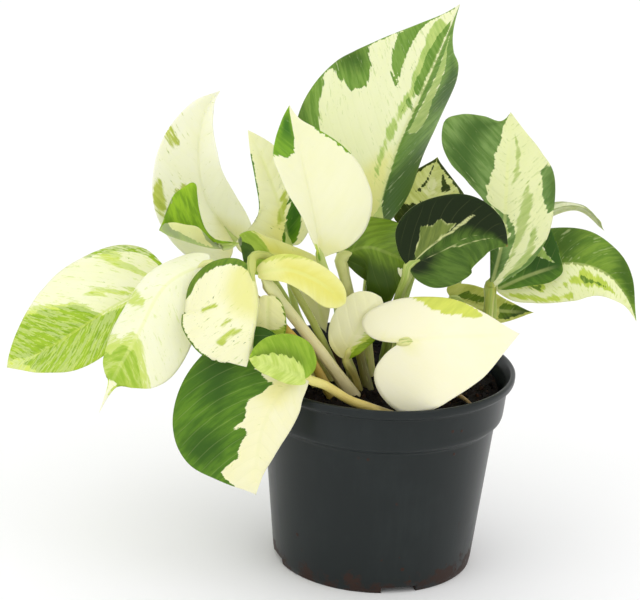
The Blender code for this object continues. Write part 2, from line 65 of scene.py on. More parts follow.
class Board:  # a node tree and what it is wired with
    def __init__(self, tree):
        self.tree = tree

    def node(self, kind, settings=(), inputs=(), out=0):
        node = self.tree.nodes.new(kind)
        for name, value in dict(settings).items():
            setattr(node, name, value)
        for name, value in dict(inputs).items():
            if isinstance(value, Wire):
                self.tree.links.new(value.socket, node.inputs[name])
            else:
                node.inputs[name].default_value = value
        return Wire(self, node.outputs[out]) if node.outputs else None

    def maths(self, operation, *values):
        return self.node("ShaderNodeMath", {"operation": operation}, dict(enumerate(values)))

    def most(self, first, second):
        return self.maths("MAXIMUM", first, second)

    def size(self, value):
        return self.maths("ABSOLUTE", value)

    def ease(self, value, low, high):  # 0 below low, 1 above high, smooth between
        settings = {"interpolation_type": "SMOOTHSTEP", "clamp": True}
        return self.node("ShaderNodeMapRange", settings, {0: value, 1: low, 2: high})

    def blend(self, share, first, second):  # colours
        return self.node("ShaderNodeMix", {"data_type": "RGBA"}, {0: share, 6: first, 7: second}, out=2)

    def vectors(self, operation, *values):
        return self.node("ShaderNodeVectorMath", {"operation": operation}, dict(enumerate(values)))

    def stretch(self, vector, amounts):
        return self.vectors("MULTIPLY", vector, amounts)

    def join(self, x, y, z):
        return self.node("ShaderNodeCombineXYZ", (), {0: x, 1: y, 2: z})

    def parts(self, vector):
        first = self.node("ShaderNodeSeparateXYZ", (), {0: vector})
        return first, first.other("Y"), first.other("Z")

    def cloud(self, vector, scale, detail=2.0, rough=0.5):  # soft noise from 0 to 1
        inputs = {"Vector": vector, "Scale": scale, "Detail": detail, "Roughness": rough}
        return self.node("ShaderNodeTexNoise", (), inputs)

    def stored(self, name, out="Vector"):  # a value kept on the mesh
        return self.node("ShaderNodeAttribute", {"attribute_name": name}, out=out)

    def inPlace(self):  # where a point lies in its object
        return self.node("ShaderNodeTexCoord", out="Object")

    def bump(self, strength, depth, height):
        return self.node("ShaderNodeBump", (), {"Strength": strength, "Distance": depth, "Height": height})

    def finish(self, inputs):
        self.node("ShaderNodeOutputMaterial", (), {"Surface": self.node("ShaderNodeBsdfPrincipled", (), inputs)})

    def shape(self, kind, **inputs):  # a step of geometry
        inputs = {name.replace("_", " "): value for name, value in inputs.items()}
        return self.node(f"GeometryNode{kind}", (), inputs)

    def keep(self, shape, kind, name, value):  # stores a value on the points
        settings = {"data_type": kind, "domain": "POINT"}
        inputs = {"Geometry": shape, "Name": name, "Value": value}
        return self.node("GeometryNodeStoreNamedAttribute", settings, inputs)


def linear(colour):  # a screen colour as linear light
    values = [int(colour[at:at + 2], 16) / 255 for at in (0, 2, 4)]
    return [v / 12.92 if v <= 0.04045 else ((v + 0.055) / 1.055) ** 2.4 for v in values] + [1.0]


def skinBoard(name, look=None):  # a material, its nodes and the colours of its look
    skin = bpy.data.materials.new(name)
    skin.use_nodes = True
    skin.node_tree.nodes.clear()
    paints = {key: linear(value) for key, value in (look or {}).items() if isinstance(value, str)}
    return skin, Board(skin.node_tree), paints


# Pieces

def addObject(name, data):
    piece = bpy.data.objects.new(name, data)
    scene.collection.objects.link(piece)
    return piece


def makeMesh(name, bm):
    mesh = bpy.data.meshes.new(name)
    bm.to_mesh(mesh)
    bm.free()
    return mesh


def onRing(radius, angle, height):  # a point from mm round the pot's axis
    return Vector((radius * math.cos(angle), radius * math.sin(angle), height)) * mm


def madePlain(grower, name):  # the evaluated shape as a plain mesh piece
    bpy.context.view_layer.update()
    graph = bpy.context.evaluated_depsgraph_get()
    mesh = bpy.data.meshes.new_from_object(grower.evaluated_get(graph), depsgraph=graph)
    mesh.name = name
    piece = addObject(name, mesh)
    bpy.data.objects.remove(grower)
    return piece


def growerBoard(name, source, made, numbers, counts):  # a tree that grows what is made from its source
    tree = bpy.data.node_groups.new(name, "GeometryNodeTree")
    ask = tree.interface.new_socket
    ask(source, in_out="INPUT", socket_type="NodeSocketGeometry")
    for kind, values in (("Float", numbers), ("Int", counts)):
        for title, value in values.items():
            ask(title, in_out="INPUT", socket_type=f"NodeSocket{kind}").default_value = value
    ask("Skin", in_out="INPUT", socket_type="NodeSocketMaterial")
    ask(made, in_out="OUTPUT", socket_type="NodeSocketGeometry")
    board = Board(tree)
    return board, board.node("NodeGroupInput")


def finishGrower(board, shape, given):
    shape = board.shape("RealizeInstances", Geometry=shape)
    shape = board.shape("SetMaterial", Geometry=shape, Material=given.other("Skin"))
    board.node("NodeGroupOutput", (), {0: shape})
    return board.tree


def grow(name, data, tree, values):  # runs a tree on a line or a bed and keeps what it grows
    grower = addObject("grower", data)
    modifier = grower.modifiers.new(tree.name, "NODES")
    modifier.node_group = tree
    for item in tree.interface.items_tree:
        if item.in_out == "INPUT" and item.name in values:
            modifier[item.identifier] = values[item.name]
    return madePlain(grower, name)


# Curves and blades

def unit(vectors):
    return vectors / np.maximum(np.linalg.norm(vectors, axis=-1, keepdims=True), 1e-9)


def smoothCurve(points, samples):  # an even-paced smooth curve through the points
    points = np.asarray(points, float)
    knots = np.concatenate([[0], np.cumsum(np.sqrt(np.linalg.norm(np.diff(points, axis=0), axis=1)))])
    step = np.diff(knots)[:, None]
    slope = np.diff(points, axis=0) / step
    tangent = np.empty_like(points)
    tangent[1:-1] = (slope[:-1] * step[1:] + slope[1:] * step[:-1]) / (step[:-1] + step[1:])
    tangent[0] = 1.5 * slope[0] - 0.5 * tangent[1]
    tangent[-1] = 1.5 * slope[-1] - 0.5 * tangent[-2]
    at = np.linspace(0, knots[-1], samples)
    span = np.clip(np.searchsorted(knots, at, side="right") - 1, 0, len(step) - 1)
    wide = step[span]
    u = (at - knots[span])[:, None] / wide
    return (
        (2 * u**3 - 3 * u**2 + 1) * points[span]
        + (u**3 - 2 * u**2 + u) * wide * tangent[span]
        + (3 * u**2 - 2 * u**3) * points[span + 1]
        + (u**3 - u**2) * wide * tangent[span + 1]
    )


def evenSpacing(curve, samples):
    run = np.concatenate([[0], np.cumsum(np.linalg.norm(np.diff(curve, axis=0), axis=1))])
    return sampled(curve, run, np.linspace(0, run[-1], samples)), run[-1]


def sampled(curve, run, at):  # the curve's points at these distances along it
    return np.stack([np.interp(at, run, axis) for axis in curve.T], axis=-1)


bladeBuild = dict(  # mm
    along=78,  # rows from the base to the tip
    across=22,  # columns from the midrib to each margin
    spine=240,
    thickness=0.55,
    keel=1.5,  # how far the midrib stands out under the blade at its base
    groove=0.45,
    ribWidth=1.1,
    quilting=0.22,
    wave=0.6,
    veinGap=6.0,
    veinRake=0.62,  # how far a side vein runs forward for each mm outward
    deepest=14.0,  # the greatest depth that paint keeps
)
heart = [(0, 0), (-7.5, 22), (-8.5, 50), (0, 80), (17, 98), (34, 98.5), (52, 84), (70, 56), (85, 27), (94, 9),
         (100, 0)]


def bladeGrid(plan):  # points in mm, and where each one lies on the opened blade
    along, across, samples = bladeBuild["along"], bladeBuild["across"], bladeBuild["spine"]
    spine, length = evenSpacing(smoothCurve(plan["midrib"], samples), samples)
    forward = unit(np.gradient(spine, axis=0))
    face = np.asarray(plan["face"], float)
    upper = unit(face - (forward @ face)[:, None] * forward)
    right = np.cross(forward, upper)
    place = np.linspace(0, length, samples)
    share = np.linspace(0, 1, along + 1)
    grid = np.zeros((along + 1, 2 * across + 1, 3))
    flat = np.zeros((along + 1, 2 * across + 1, 2))
    for side in (0, 1):
        sign = 2 * side - 1
        width, fold, curl = (plan.get(key, (0, 0))[side] for key in ("width", "fold", "curl"))
        outline = np.asarray(plan.get(("left", "right")[side], plan.get("both", heart))) / 100
        margin = smoothCurve(outline, 2 * samples) * [length, width]
        margin = evenSpacing(margin, along + 1)[0]
        for step in range(across + 1):
            reach = step / across
            x = share * length + (margin[:, 0] - share * length) * reach**1.25
            y = margin[:, 1] * reach
            t = np.clip(x / length, 0, 1)
            start = np.radians(np.interp(t, (0, 1), np.broadcast_to(fold, 2)))
            bend = np.radians(curl) if curl else 1e-5
            angle = start + bend * y / width
            out = width / bend * (np.sin(angle) - np.sin(start))
            lift = -width / bend * (np.cos(angle) - np.cos(start))
            acrossWay, upWay = (unit(sampled(way, place, x)) for way in (right, upper))
            point = sampled(spine, place, x) + acrossWay * sign * out[:, None] + upWay * lift[:, None]
            point += forward[0] * np.minimum(x, 0)[:, None]
            grid[:, across + sign * step] = point
            flat[:, across + sign * step] = np.stack([x, sign * y], axis=-1)
    return grid, flat, length


def depthInside(points, corners):  # mm inside the outline, negative outside it
    corners = np.asarray(corners, float)
    nearest = np.full(points.shape[:-1], 1e9)
    inside = np.zeros(points.shape[:-1], bool)
    for first, second in zip(corners, np.roll(corners, -1, axis=0)):
        edge = second - first
        share = np.clip(((points - first) @ edge) / max(edge @ edge, 1e-9), 0, 1)
        nearest = np.minimum(nearest, np.linalg.norm(points - first - share[..., None] * edge, axis=-1))
        rises = (points[..., 1] > first[1]) != (points[..., 1] > second[1])
        slope = edge[0] / (edge[1] if edge[1] else 1e-9)
        inside ^= rises & (points[..., 0] < first[0] + slope * (points[..., 1] - first[1]))
    return np.where(inside, nearest, -nearest)


def paintBlade(plan, share, reach, margin, length):  # how deep each point lies in each kind of paint, in mm
    deepest, widths = bladeBuild["deepest"], plan["width"]
    fields = {kind: np.full(share.shape, -deepest) for kind in ("green", "light", "dark", "yellow", "line")}
    if "ground" in plan:
        fields[plan["ground"]] = np.full(share.shape, deepest)
    points = np.stack([share * length, reach * np.where(reach < 0, *widths)], axis=-1)
    for kind, corners in plan.get("paint", []):
        depth = depthInside(points, [(u / 100 * length, v / 100 * widths[int(v > 0)]) for u, v in corners])
        for name in fields:
            if name == kind:
                fields[name] = np.maximum(fields[name], depth)
            elif kind == "cream" and name not in ("yellow", "line") or kind == "light" and name == "green":
                fields[name] = np.minimum(fields[name], -depth)
    fields = {name: np.clip(field, -deepest, deepest) for name, field in fields.items()}
    for side, low, high, wide in plan.get("edges", []):  # green margins, wide in mm
        on = np.clip(np.minimum(share - low / 100, high / 100 - share) * length, -6, 0) * 2
        depth = np.where(np.sign(reach) == side, wide - margin, -deepest) + on
        fields["green"] = np.maximum(fields["green"], np.clip(depth, -deepest, deepest))
    return fields


def bladeMesh(name, plan):
    build = bladeBuild
    grid, flat, length = bladeGrid(plan)
    rows, columns = grid.shape[:2]
    share = np.linspace(0, 1, rows)[:, None] + np.zeros((rows, columns))
    reach = np.broadcast_to(np.linspace(-1, 1, columns), (rows, columns))
    normal = unit(np.cross(np.gradient(grid, axis=1), np.gradient(grid, axis=0)))
    for row, near in ((0, 1), (rows - 1, rows - 2)):
        normal[row] = unit(normal[near].mean(0))
    outward = np.abs(flat[..., 1])
    vein = flat[..., 0] - build["veinRake"] * outward ** 1.12
    phase = np.random.default_rng(plan["seed"]).uniform(0, 6.28, 4)
    ends = np.clip(np.minimum(share, 1 - share) * 9, 0, 1)
    middle = np.exp(-(flat[..., 1] / build["ribWidth"]) ** 2)
    relief = -build["groove"] * middle * (1 - share) ** 0.6
    swell = np.abs(np.sin(math.pi * vein / build["veinGap"] + phase[0])) ** 0.7
    swell *= np.clip(outward / 4, 0, 1) * (1 - np.abs(reach)) ** 0.5
    relief += plan.get("quilting", build["quilting"]) * swell
    for height, steep, turns, start in ((1, 2, 1.7, phase[1]), (0.4, 4, 4.3, phase[2])):
        relief += height * build["wave"] * reach**steep * np.sin(2 * math.pi * (turns * share) + start) * ends
    grid = grid + normal * (relief * ends)[..., None]
    half = build["thickness"] / 2 * ends * (1 - 0.5 * np.abs(reach) ** 6)
    top = grid + normal * half[..., None]
    keel = build["keel"] * (1 - share) ** 1.3 + 0.3
    under = grid - normal * (half + keel * middle * ends)[..., None]
    margin = (1 - np.abs(reach)) * outward.max(axis=1, keepdims=True)
    fields = paintBlade(plan, share, reach, margin, length)
    bm = bmesh.new()
    stores = bm.verts.layers.float_vector
    places, veins, paints, tones = (stores.new(key) for key in ("place", "vein", "paint", "tone"))
    sheets = []
    for low, sheet in ((0, top), (1, under)):
        verts = []
        for at in np.ndindex(rows, columns):
            vert = bm.verts.new(sheet[at] * mm)
            vert[places] = (share[at], reach[at], low)
            vert[veins] = (vein[at], flat[at][1], plan["seed"] * 7.3)
            vert[paints] = [fields[kind][at] for kind in ("green", "light", "dark")]
            vert[tones] = (fields["yellow"][at], margin[at], fields["line"][at])
            verts.append(vert)
        sheets.append(verts)
    a, b = sheets
    for row in range(rows - 1):
        for column in range(columns - 1):
            k = row * columns + column
            corner = (k, k + 1, k + columns + 1, k + columns)
            bm.faces.new([a[i] for i in corner])
            bm.faces.new([b[i] for i in reversed(corner)])
        for k in (row * columns, row * columns + columns - 1):
            bm.faces.new([a[k], a[k + columns], b[k + columns], b[k]])
    bmesh.ops.remove_doubles(bm, verts=bm.verts, dist=0.02 * mm)
    bmesh.ops.recalc_face_normals(bm, faces=bm.faces)
    piece = addObject(name, makeMesh(name, bm))
    piece.data.shade_smooth()
    return piece


def leafSkin(name, look):
    skin, board, paints = skinBoard(name, look)
    along, _, under = board.parts(board.stored("place"))
    vein = board.stored("vein")
    veinRun, veinOut, _ = board.parts(vein)
    green, light, dark = board.parts(board.stored("paint"))
    yellow, margin, line = board.parts(board.stored("tone"))
    streak = board.cloud(board.stretch(vein, (0.36, 0.1, 1)), 1.0, 4.0, 0.62)
    thread = board.cloud(board.stretch(vein, (0.8, 0.22, 1)), 1.0, 4.0, 0.62)
    speck = board.cloud(board.stretch(vein, (0.75, 0.42, 1)), 1.0, 3.0, 0.7)
    broad = board.cloud(vein, 0.07, 2.0)
    jag = (streak - 0.5) * look["jag"] + (thread - 0.5) * 0.35 * look["jag"]
    greenShare = board.ease(green + jag, -0.18, 0.18)
    lightShare = board.ease(light + jag * 1.3, -0.9, 0.5)
    darkShare = board.ease(dark + jag, -5.0, 4.0)
    near = board.ease(board.most(green, light), -9.0, 0.0)
    dash = board.ease(thread + speck * 0.5 + near * 0.045, look["dashes"], look["dashes"] + 0.05)
    dot = board.ease(speck + near * 0.05, look["dots"], look["dots"] + 0.03)
    pale = board.ease(thread * 0.6 + streak * 0.6, look["gaps"], look["gaps"] + 0.06)
    cream = board.blend(broad, paints["cream"], paints["ivory"])
    cream = board.blend(board.ease(yellow + jag, -6.0, 4.0) * 0.75, cream, paints["yellow"])
    lime = board.blend(board.ease(streak, 0.35, 0.65), paints["lime"], paints["limeShade"])
    leafGreen = board.blend(board.ease(streak, 0.36, 0.62), paints["green"], paints["greenShade"])
    # dark paint deepens the green: a darker patch of the leaf itself on most leaves, and painted shade on
    # darkGreenLeaf, saddleLeaf and rimLeafLobe
    leafGreen = board.blend(darkShare, leafGreen, paints["dark"])
    colour = board.blend(dash * 0.42, cream, lime)
    colour = board.blend(lightShare * (0.95 - pale * 0.35), colour, lime)
    colour = board.blend(board.most(greenShare * (1 - pale * look["gapDepth"]), dot * 0.8), colour, leafGreen)
    colour = board.blend(board.ease(line, -0.25, 0.2) * 0.9, colour, cream)
    rib = board.ease(board.size(veinOut), 1.15, 0.35) * board.ease(along, 0.98, 0.6)
    turn = board.maths("PINGPONG", veinRun + (broad - 0.5) * 2.0, bladeBuild["veinGap"] / 2)
    sideVein = board.ease(turn, 0.34, 0.0) * board.ease(margin, 0.5, 4.0)
    colour = board.blend(rib * look["rib"] + sideVein * look["vein"], colour, paints["ribPaint"])
    colour = board.blend(under, colour, board.blend(0.42, colour, paints["under"]))
    colour = board.blend(board.ease(along, 0.975, 1.0) * look["dryTip"], colour, paints["dry"])
    fine = board.cloud(vein, 2.4, 2.0)
    height = (board.ease(turn, 1.0, 0.0) * -0.5 + thread * 0.25) * look["relief"] + fine * 0.25
    board.finish({
        "Base Color": colour,
        "Roughness": look["gloss"] + (streak - 0.5) * 0.1 + under * 0.14,
        "Normal": board.bump(0.35, 0.3 * mm, height),
        "Subsurface Weight": look["glow"],
        "Subsurface Radius": (1.0, 1.0, 0.35),
        "Subsurface Scale": 0.0016,
        "Specular IOR Level": look["shine"],
    })
    return skin


leafLook = dict(
    cream="f6f5dc", ivory="eff0c6", yellow="eae58c",
    lime="c4d658", limeShade="aac43c",
    green="7a9c28", greenShade="62881c", dark="3a5414",
    ribPaint="e2e896", under="d6deb0", dry="9e703c",
    jag=5.0,  # mm that the edges of the paint wander along the veins
    dashes=0.93, dots=0.74, gaps=0.72,  # how rare they are
    gapDepth=0.3, rib=0.35, vein=0.06, gloss=0.44, shine=0.22, relief=1.0, glow=0.25, dryTip=0.0,
)

leafPlans = dict(  # midribs in mm, turns in degrees, outlines and paint in hundredths of the length and half width
    farLeftLeaf=dict(
        node="far_left_leaf", seed=1, midrib=[(-95, 4, 124), (-118, -4, 115), (-145, -12, 97), (-167, -14, 85)],
        face=(-0.3, -0.6, 0.75), width=(25, 30), fold=(18, 20), curl=(-12, -14),
        left=[(0, 0), (5, 50), (25, 90), (50, 100), (65, 95), (80, 63), (92, 25), (100, 0)],
        right=[(0, 0), (2, 30), (9, 70), (25, 95), (47, 100), (64, 89), (78, 69), (88, 47), (96, 20), (100, 0)],
        paint=[("light", [(50, -110), (44, -70), (34, -45), (20, -30), (20, -10), (40, -6), (46, 12), (50, 36),
        (60, 60), (70, 85), (80, 110), (110, 110), (110, -110)]), ("green", [(50, -110), (44, -70), (36, -42),
        (24, -26), (40, -12), (46, 12), (52, 34), (62, 56), (72, 80), (80, 105), (98, 105), (96, 50), (90, 10),
        (80, -5), (90, -40), (86, -80), (76, -110)]), ("light", [(10, 30), (13, 30), (30, 62), (38, 93), (30,
        90), (27, 70)]), ("green", [(5, 78), (16, 84), (30, 88), (42, 96), (40, 110), (2, 110)]), ("light",
        [(20, 2), (30, 12), (40, 26), (46, 40), (42, 42), (32, 24), (20, 10)])],
        look=dict(cream="f5f5da", ivory="eaeeba", green="9ebe2a", greenShade="7ea21a", dark="6c9014",
        lime="cede5c", limeShade="b2cc3c", dashes=0.86, gaps=0.56, gapDepth=0.6, jag=6.5, rib=0.5,
        ribPaint="cede60"),
    ),
    hangingLeftLeaf=dict(
        node="hanging_left_leaf", seed=2, midrib=[(-78, -27, 143), (-95, -33, 134), (-106, -41, 113), (-116,
        -46, 93), (-121, -48, 79)], face=(0.1, -0.9, 0.4), width=(23, 15), fold=(-5, -35), curl=(-12, -20),
        both=[(0, 0), (-3, 30), (10, 75), (30, 95), (50, 100), (64, 96), (74, 78), (80, 42), (84, 12), (100,
        0)],
        paint=[("light", [(56, -10), (62, -30), (68, -60), (74, -110), (90, -110), (90, 0), (84, 110), (62,
        110), (62, 40), (54, 20)]), ("green", [(62, -10), (66, -30), (72, -60), (78, -110), (86, -110), (84, 0),
        (82, 110), (70, 110), (70, 60), (62, 30)]), ("light", [(37, 30), (40, 26), (44, 70), (45, 100), (39,
        95)]), ("cream", [(82, -30), (90, -30), (110, -30), (110, 30), (82, 30)])],
        look=dict(cream="f5f5dc", ivory="ecefc0", green="96b834", greenShade="b0c84e", lime="c0d45c",
        limeShade="ccda78", dashes=0.88, gaps=0.62),
    ),
    uprightLeftLeaf=dict(
        node="upright_left_leaf", seed=3, midrib=[(-70, 12, 144), (-83, 15, 161), (-87, 18, 183), (-84, 20,
        200), (-78, 18, 209)], face=(0.1, -0.85, 0.4), width=(29, 15), fold=(30, 40), curl=(5, 5),
        quilting=0.12,
        paint=[("light", [(77, -100), (73, -80), (67, -50), (65, -50), (70, -80), (73, -100)]), ("light", [(50,
        -100), (56, -95), (54, -80), (46, -74), (44, -86)]), ("light", [(46, -50), (44, -30), (34, -20), (33,
        -30), (40, -45)]), ("yellow", [(0, -100), (14, -100), (14, 100), (0, 100)])],
        look=dict(cream="f7f7e4", ivory="f0f1ce", lime="bec85c", limeShade="a8b63e", yellow="e2e0aa",
        dashes=0.92, rib=0.15),
    ),
    smallGreenLeaf=dict(
        node="small_green_leaf", seed=4, midrib=[(-65, -10, 148), (-77, -13, 147), (-90, -16, 150), (-100, -18,
        154)], face=(0, -1, 0.3), width=(10, 25), fold=(125, 0), curl=(20, -10),
        left=[(0, 0), (25, 5), (36, 30), (50, 75), (65, 100), (85, 95), (100, 60), (100, 0)],
        right=[(0, 0), (12, 5), (32, 13), (50, 34), (63, 66), (74, 98), (82, 100), (92, 86), (103, 60), (108,
        32), (104, 8), (100, 0)],
        ground="green",
        paint=[("cream", [(30, -20), (42, -50), (50, -110), (84, -110), (80, -60), (60, -30), (50, -10)]),
        ("yellow", [(20, -110), (50, -110), (50, -10), (20, 0)]), ("dark", [(10, -10), (10, -40), (20, -110),
        (46, -110), (40, -50), (28, -20)]), ("dark", [(78, 0), (90, -50), (90, -110), (82, -110), (76, -40)]),
        ("light", [(0, 0), (30, 2), (44, 10), (50, 30), (30, 16), (0, 30)])],
        look=dict(green="6e9612", greenShade="92b822", dark="3a5c0a", lime="96b846", limeShade="84aa36",
        cream="eef0b0", ivory="e4e278", gaps=0.82),
    ),
    roundFrontLeaf=dict(
        node="round_front_leaf", seed=5, midrib=[(-58, -42, 147), (-54, -50, 134), (-55, -57, 122), (-57, -61,
        109)], face=(-0.2, -0.9, 0.35), width=(7, 36), fold=(-100, 0), curl=(-10, -25),
        left=[(0, 0), (-5, 30), (0, 70), (25, 100), (60, 80), (90, 30), (100, 0)],
        right=[(0, 0), (-13, 12), (-19, 45), (-6, 84), (22, 100), (52, 102), (78, 93), (95, 72), (103, 38),
        (100, 0)],
        paint=[("light", [(63, 17), (65, 16), (70, 32), (77, 50), (75, 56), (68, 40), (64, 28)]), ("light",
        [(55, 30), (57, 36), (62, 42), (60, 36)]), ("light", [(40, 55), (44, 50), (52, 70), (46, 72)]),
        ("yellow", [(10, 0), (50, 0), (46, 28), (20, 50), (5, 70), (0, 30)]), ("light", [(-6, 30), (2, 30), (4,
        80), (-6, 80)])],
        edges=[(1, -2, 34, 2.4), (1, 45, 95, 0.9), (-1, 78, 95, 2)],
        look=dict(cream="f5f3d0", ivory="eeedb8", yellow="e2e084", jag=3.4, dashes=0.9, dots=0.7, lime="bece54",
        limeShade="a8ba38", green="6e8c22", greenShade="567818"),
    ),
    curledLeaf=dict(
        node="curled_leaf", seed=6, midrib=[(-44, -2, 146), (-49, -2, 164), (-57, -2, 184), (-64, -2, 197)],
        face=(-0.1, -0.98, 0.2), width=(23, 14), curl=(25, 0),
        left=[(0, 0), (-2, 50), (2, 93), (10, 100), (22, 62), (35, 40), (60, 28), (80, 18), (100, 0)],
        right=[(0, 0), (0, 40), (20, 90), (50, 100), (80, 50), (100, 0)],
        paint=[("green", [(-6, -70), (4, -64), (8, -36), (13, -6), (22, 14), (34, 30), (50, 60), (50, 74), (34,
        66), (16, 70), (-6, 80)]), ("dark", [(8, -10), (20, 20), (36, 44), (30, 60), (10, 40)]), ("light", [(20,
        -20), (30, 0), (46, 30), (50, 36), (34, 20), (20, 2)]), ("yellow", [(0, -60), (20, -50), (30, 0), (0,
        40)])],
        edges=[(-1, 42, 86, 1.1)],
        look=dict(cream="f4f5d6", ivory="e8e9a8", green="608e1a", greenShade="4a7a10", dark="2c5c08",
        lime="c4ce5c", limeShade="b0be42", dots=0.7),
    ),
    creamHeartLeaf=dict(
        node="cream_heart_leaf", seed=7, midrib=[(-29, -20, 146), (-33, -20, 165), (-39, -16, 187), (-46, -10,
        211)], face=(0.25, -0.92, 0.3), width=(25, 28), fold=((62, 22), 2), curl=(5, -12),
        left=[(0, 0), (0, 12), (10, 27), (25, 42), (40, 54), (55, 66), (68, 70), (80, 54), (91, 26), (100, 0)],
        right=[(0, 0), (1, 15), (4, 50), (14, 82), (33, 100), (50, 93), (66, 72), (82, 33), (91, 10), (100, 0)],
        quilting=0.08,
        paint=[("green", [(69, -110), (66, -55), (70, -24), (80, -14), (90, -20), (110, -40), (110, -110)]),
        ("dark", [(78, -20), (80, -70), (92, -90), (92, -40)]), ("yellow", [(0, -100), (12, -100), (10, -30),
        (12, 40), (12, 100), (0, 100)]), ("light", [(2, -110), (16, -110), (14, -60), (4, -30)]), ("green", [(0,
        -110), (10, -110), (8, -50), (0, -30)])],
        edges=[(1, 64, 84, 1.2)],
        look=dict(cream="f1f0d0", ivory="ebebbe", yellow="eae8a4", green="629218", greenShade="7aa624",
        dark="3a700e", lime="b4cc32", dashes=1, dots=0.8, rib=0.1, relief=0.3),
    ),
    topLeaf=dict(
        node="top_leaf", seed=8, midrib=[(-6, 14, 155), (-2, 16, 175), (3, 17, 193), (11, 18, 214), (19, 19,
        236), (25, 20, 253)], face=(-0.2, -0.92, 0.35), width=(51, 27), fold=(-4, -70), curl=(-8, -10),
        left=[(0, 0), (-7, 20), (-7, 50), (2, 80), (17, 95), (34, 99), (52, 86), (70, 57), (85, 27), (94, 9),
        (100, 0)],
        right=[(0, 0), (-2, 30), (5, 65), (20, 95), (40, 100), (60, 95), (72, 75), (80, 35), (88, 12), (100,
        0)],
        paint=[("green", [(73, -110), (70, -90), (64, -66), (55, -50), (52, -62), (56, -84), (62, -110)]),
        ("dark", [(70, -100), (66, -80), (60, -70), (60, -90), (64, -110)]), ("green", [(96, -110), (88, -80),
        (80, -56), (70, -38), (56, -20), (60, -32), (68, -52), (74, -68), (80, -90), (88, -110)]), ("light",
        [(92, -70), (80, -30), (60, -12), (30, -16), (12, -20), (30, -10), (60, -4), (90, -10)]), ("green",
        [(94, -12), (84, -20), (60, -9), (42, -9), (60, -3), (90, -2)]), ("light", [(50, -90), (42, -80), (30,
        -50), (20, -34), (24, -50), (36, -80), (44, -100)]), ("green", [(30, -110), (58, -110), (53, -90), (42,
        -76), (30, -78), (24, -90)]), ("dark", [(32, -110), (50, -110), (47, -96), (38, -84), (30, -86)]),
        ("green", [(5, 2), (110, 2), (110, 110), (-10, 110), (-10, 30), (10, 10)]), ("dark", [(0, 0), (20, 4),
        (27, 30), (38, 70), (46, 110), (0, 110)]), ("light", [(40, 10), (60, 16), (76, 20), (86, 30), (74, 44),
        (58, 40), (48, 50), (42, 34)]), ("dark", [(54, 50), (64, 56), (74, 70), (70, 110), (58, 110)]),
        ("yellow", [(0, -50), (20, -50), (30, -5), (0, 10)])],
        edges=[(-1, 50, 98, 0.8)],
        look=dict(cream="eceec8", ivory="e2e8b8", green="7c9e44", greenShade="628a2e", dark="40641a",
        lime="bacc76", limeShade="9eba5c", yellow="e2e08a", dashes=0.89, gaps=0.7, jag=4.5, rib=0.5,
        ribPaint="d6e096"),
    ),
    darkGreenLeaf=dict(
        node="dark_green_leaf", seed=9, midrib=[(9, -22, 145), (22, -18, 153), (34, -17, 159), (44, -20, 160),
        (51, -26, 158)], face=(0, -0.95, 0.35), width=(22, 18), fold=(5, 5), curl=(20, 25),
        both=[(0, 0), (0, 40), (10, 80), (30, 100), (55, 92), (78, 55), (92, 18), (100, 0)],
        ground="green",
        # the first dark area, over the whole upper half, is painted shade: that half faces down, away from the
        # light
        paint=[("dark", [(-10, -110), (110, -110), (96, -10), (70, -10), (40, -20), (0, -20)]), ("light", [(10,
        -12), (14, -34), (26, -42), (34, -62), (40, -46), (48, -54), (49, -36), (56, -34), (46, -20), (30,
        -15)]), ("line", [(8, -15), (30, -17), (48, -20), (58, -32), (66, -52), (67, -50), (60, -28), (49, -16),
        (30, -13), (8, -11)]), ("line", [(86, 0), (74, 13), (62, 19), (50, 17), (40, 8), (50, 20), (62, 22),
        (75, 16)]), ("line", [(10, 6), (30, 10), (50, 6), (72, -2), (50, 8), (30, 12)]), ("dark", [(0, -10),
        (30, 5), (20, 50), (5, 90), (0, 60)])],
        # the dark colour here is that painted shade
        look=dict(green="567428", greenShade="405e1a", dark="162406", shine=0.16, lime="708034",
        limeShade="546824", gapDepth=0.2, cream="ced296", ivory="bec482", gaps=0.86, dots=0.8, dryTip=0.9,
        jag=3, rib=0, vein=0.03, glow=0.1),
    ),
    saddleLeaf=dict(
        node="saddle_leaf", seed=10, midrib=[(-21, -10, 144), (-10, -12, 150), (3, -13, 147), (21, -12, 138)],
        face=(0.1, -0.7, 0.7), width=(26, 24), fold=(-22, -35), curl=(-15, -25),
        left=[(0, 0), (-5, 40), (10, 85), (35, 100), (55, 90), (68, 50), (85, 15), (100, 0)],
        right=[(0, 0), (3, 30), (10, 75), (22, 100), (50, 115), (72, 110), (76, 75), (70, 35), (87, 12), (100,
        0)],
        ground="green",
        # the dark area over the lower half is painted shade: that half hangs down from the crease, away from the
        # light
        paint=[("dark", [(0, 15), (62, 22), (66, 40), (70, 70), (60, 110), (0, 110)]), ("cream", [(62, 18), (68,
        20), (76, 40), (84, 65), (90, 110), (84, 110), (77, 70), (70, 42), (64, 30)])],
        # the dark colour here is that painted shade
        look=dict(green="749224", greenShade="607c1a", dark="364e0a", gaps=0.84, dots=0.8, jag=3, rib=0.1,
        vein=0.03),
    ),
    tallRightLeaf=dict(
        node="tall_right_leaf", seed=11, midrib=[(46, 2, 129), (50, 0, 155), (50, 4, 179), (50, 12, 208)],
        face=(0.05, -0.95, 0.3), width=(30, 24), fold=(0, -10), curl=(15, -20),
        left=[(0, 0), (15, 10), (35, 22), (50, 30), (62, 60), (72, 88), (82, 100), (92, 98), (97, 75), (97, 40),
        (95, 12), (100, 0)],
        right=[(0, 0), (10, 35), (20, 70), (35, 90), (55, 100), (68, 95), (80, 65), (90, 30), (100, 0)],
        paint=[("green", [(110, -110), (97, -70), (94, -40), (84, -20), (65, -20), (50, -40), (40, -60), (38,
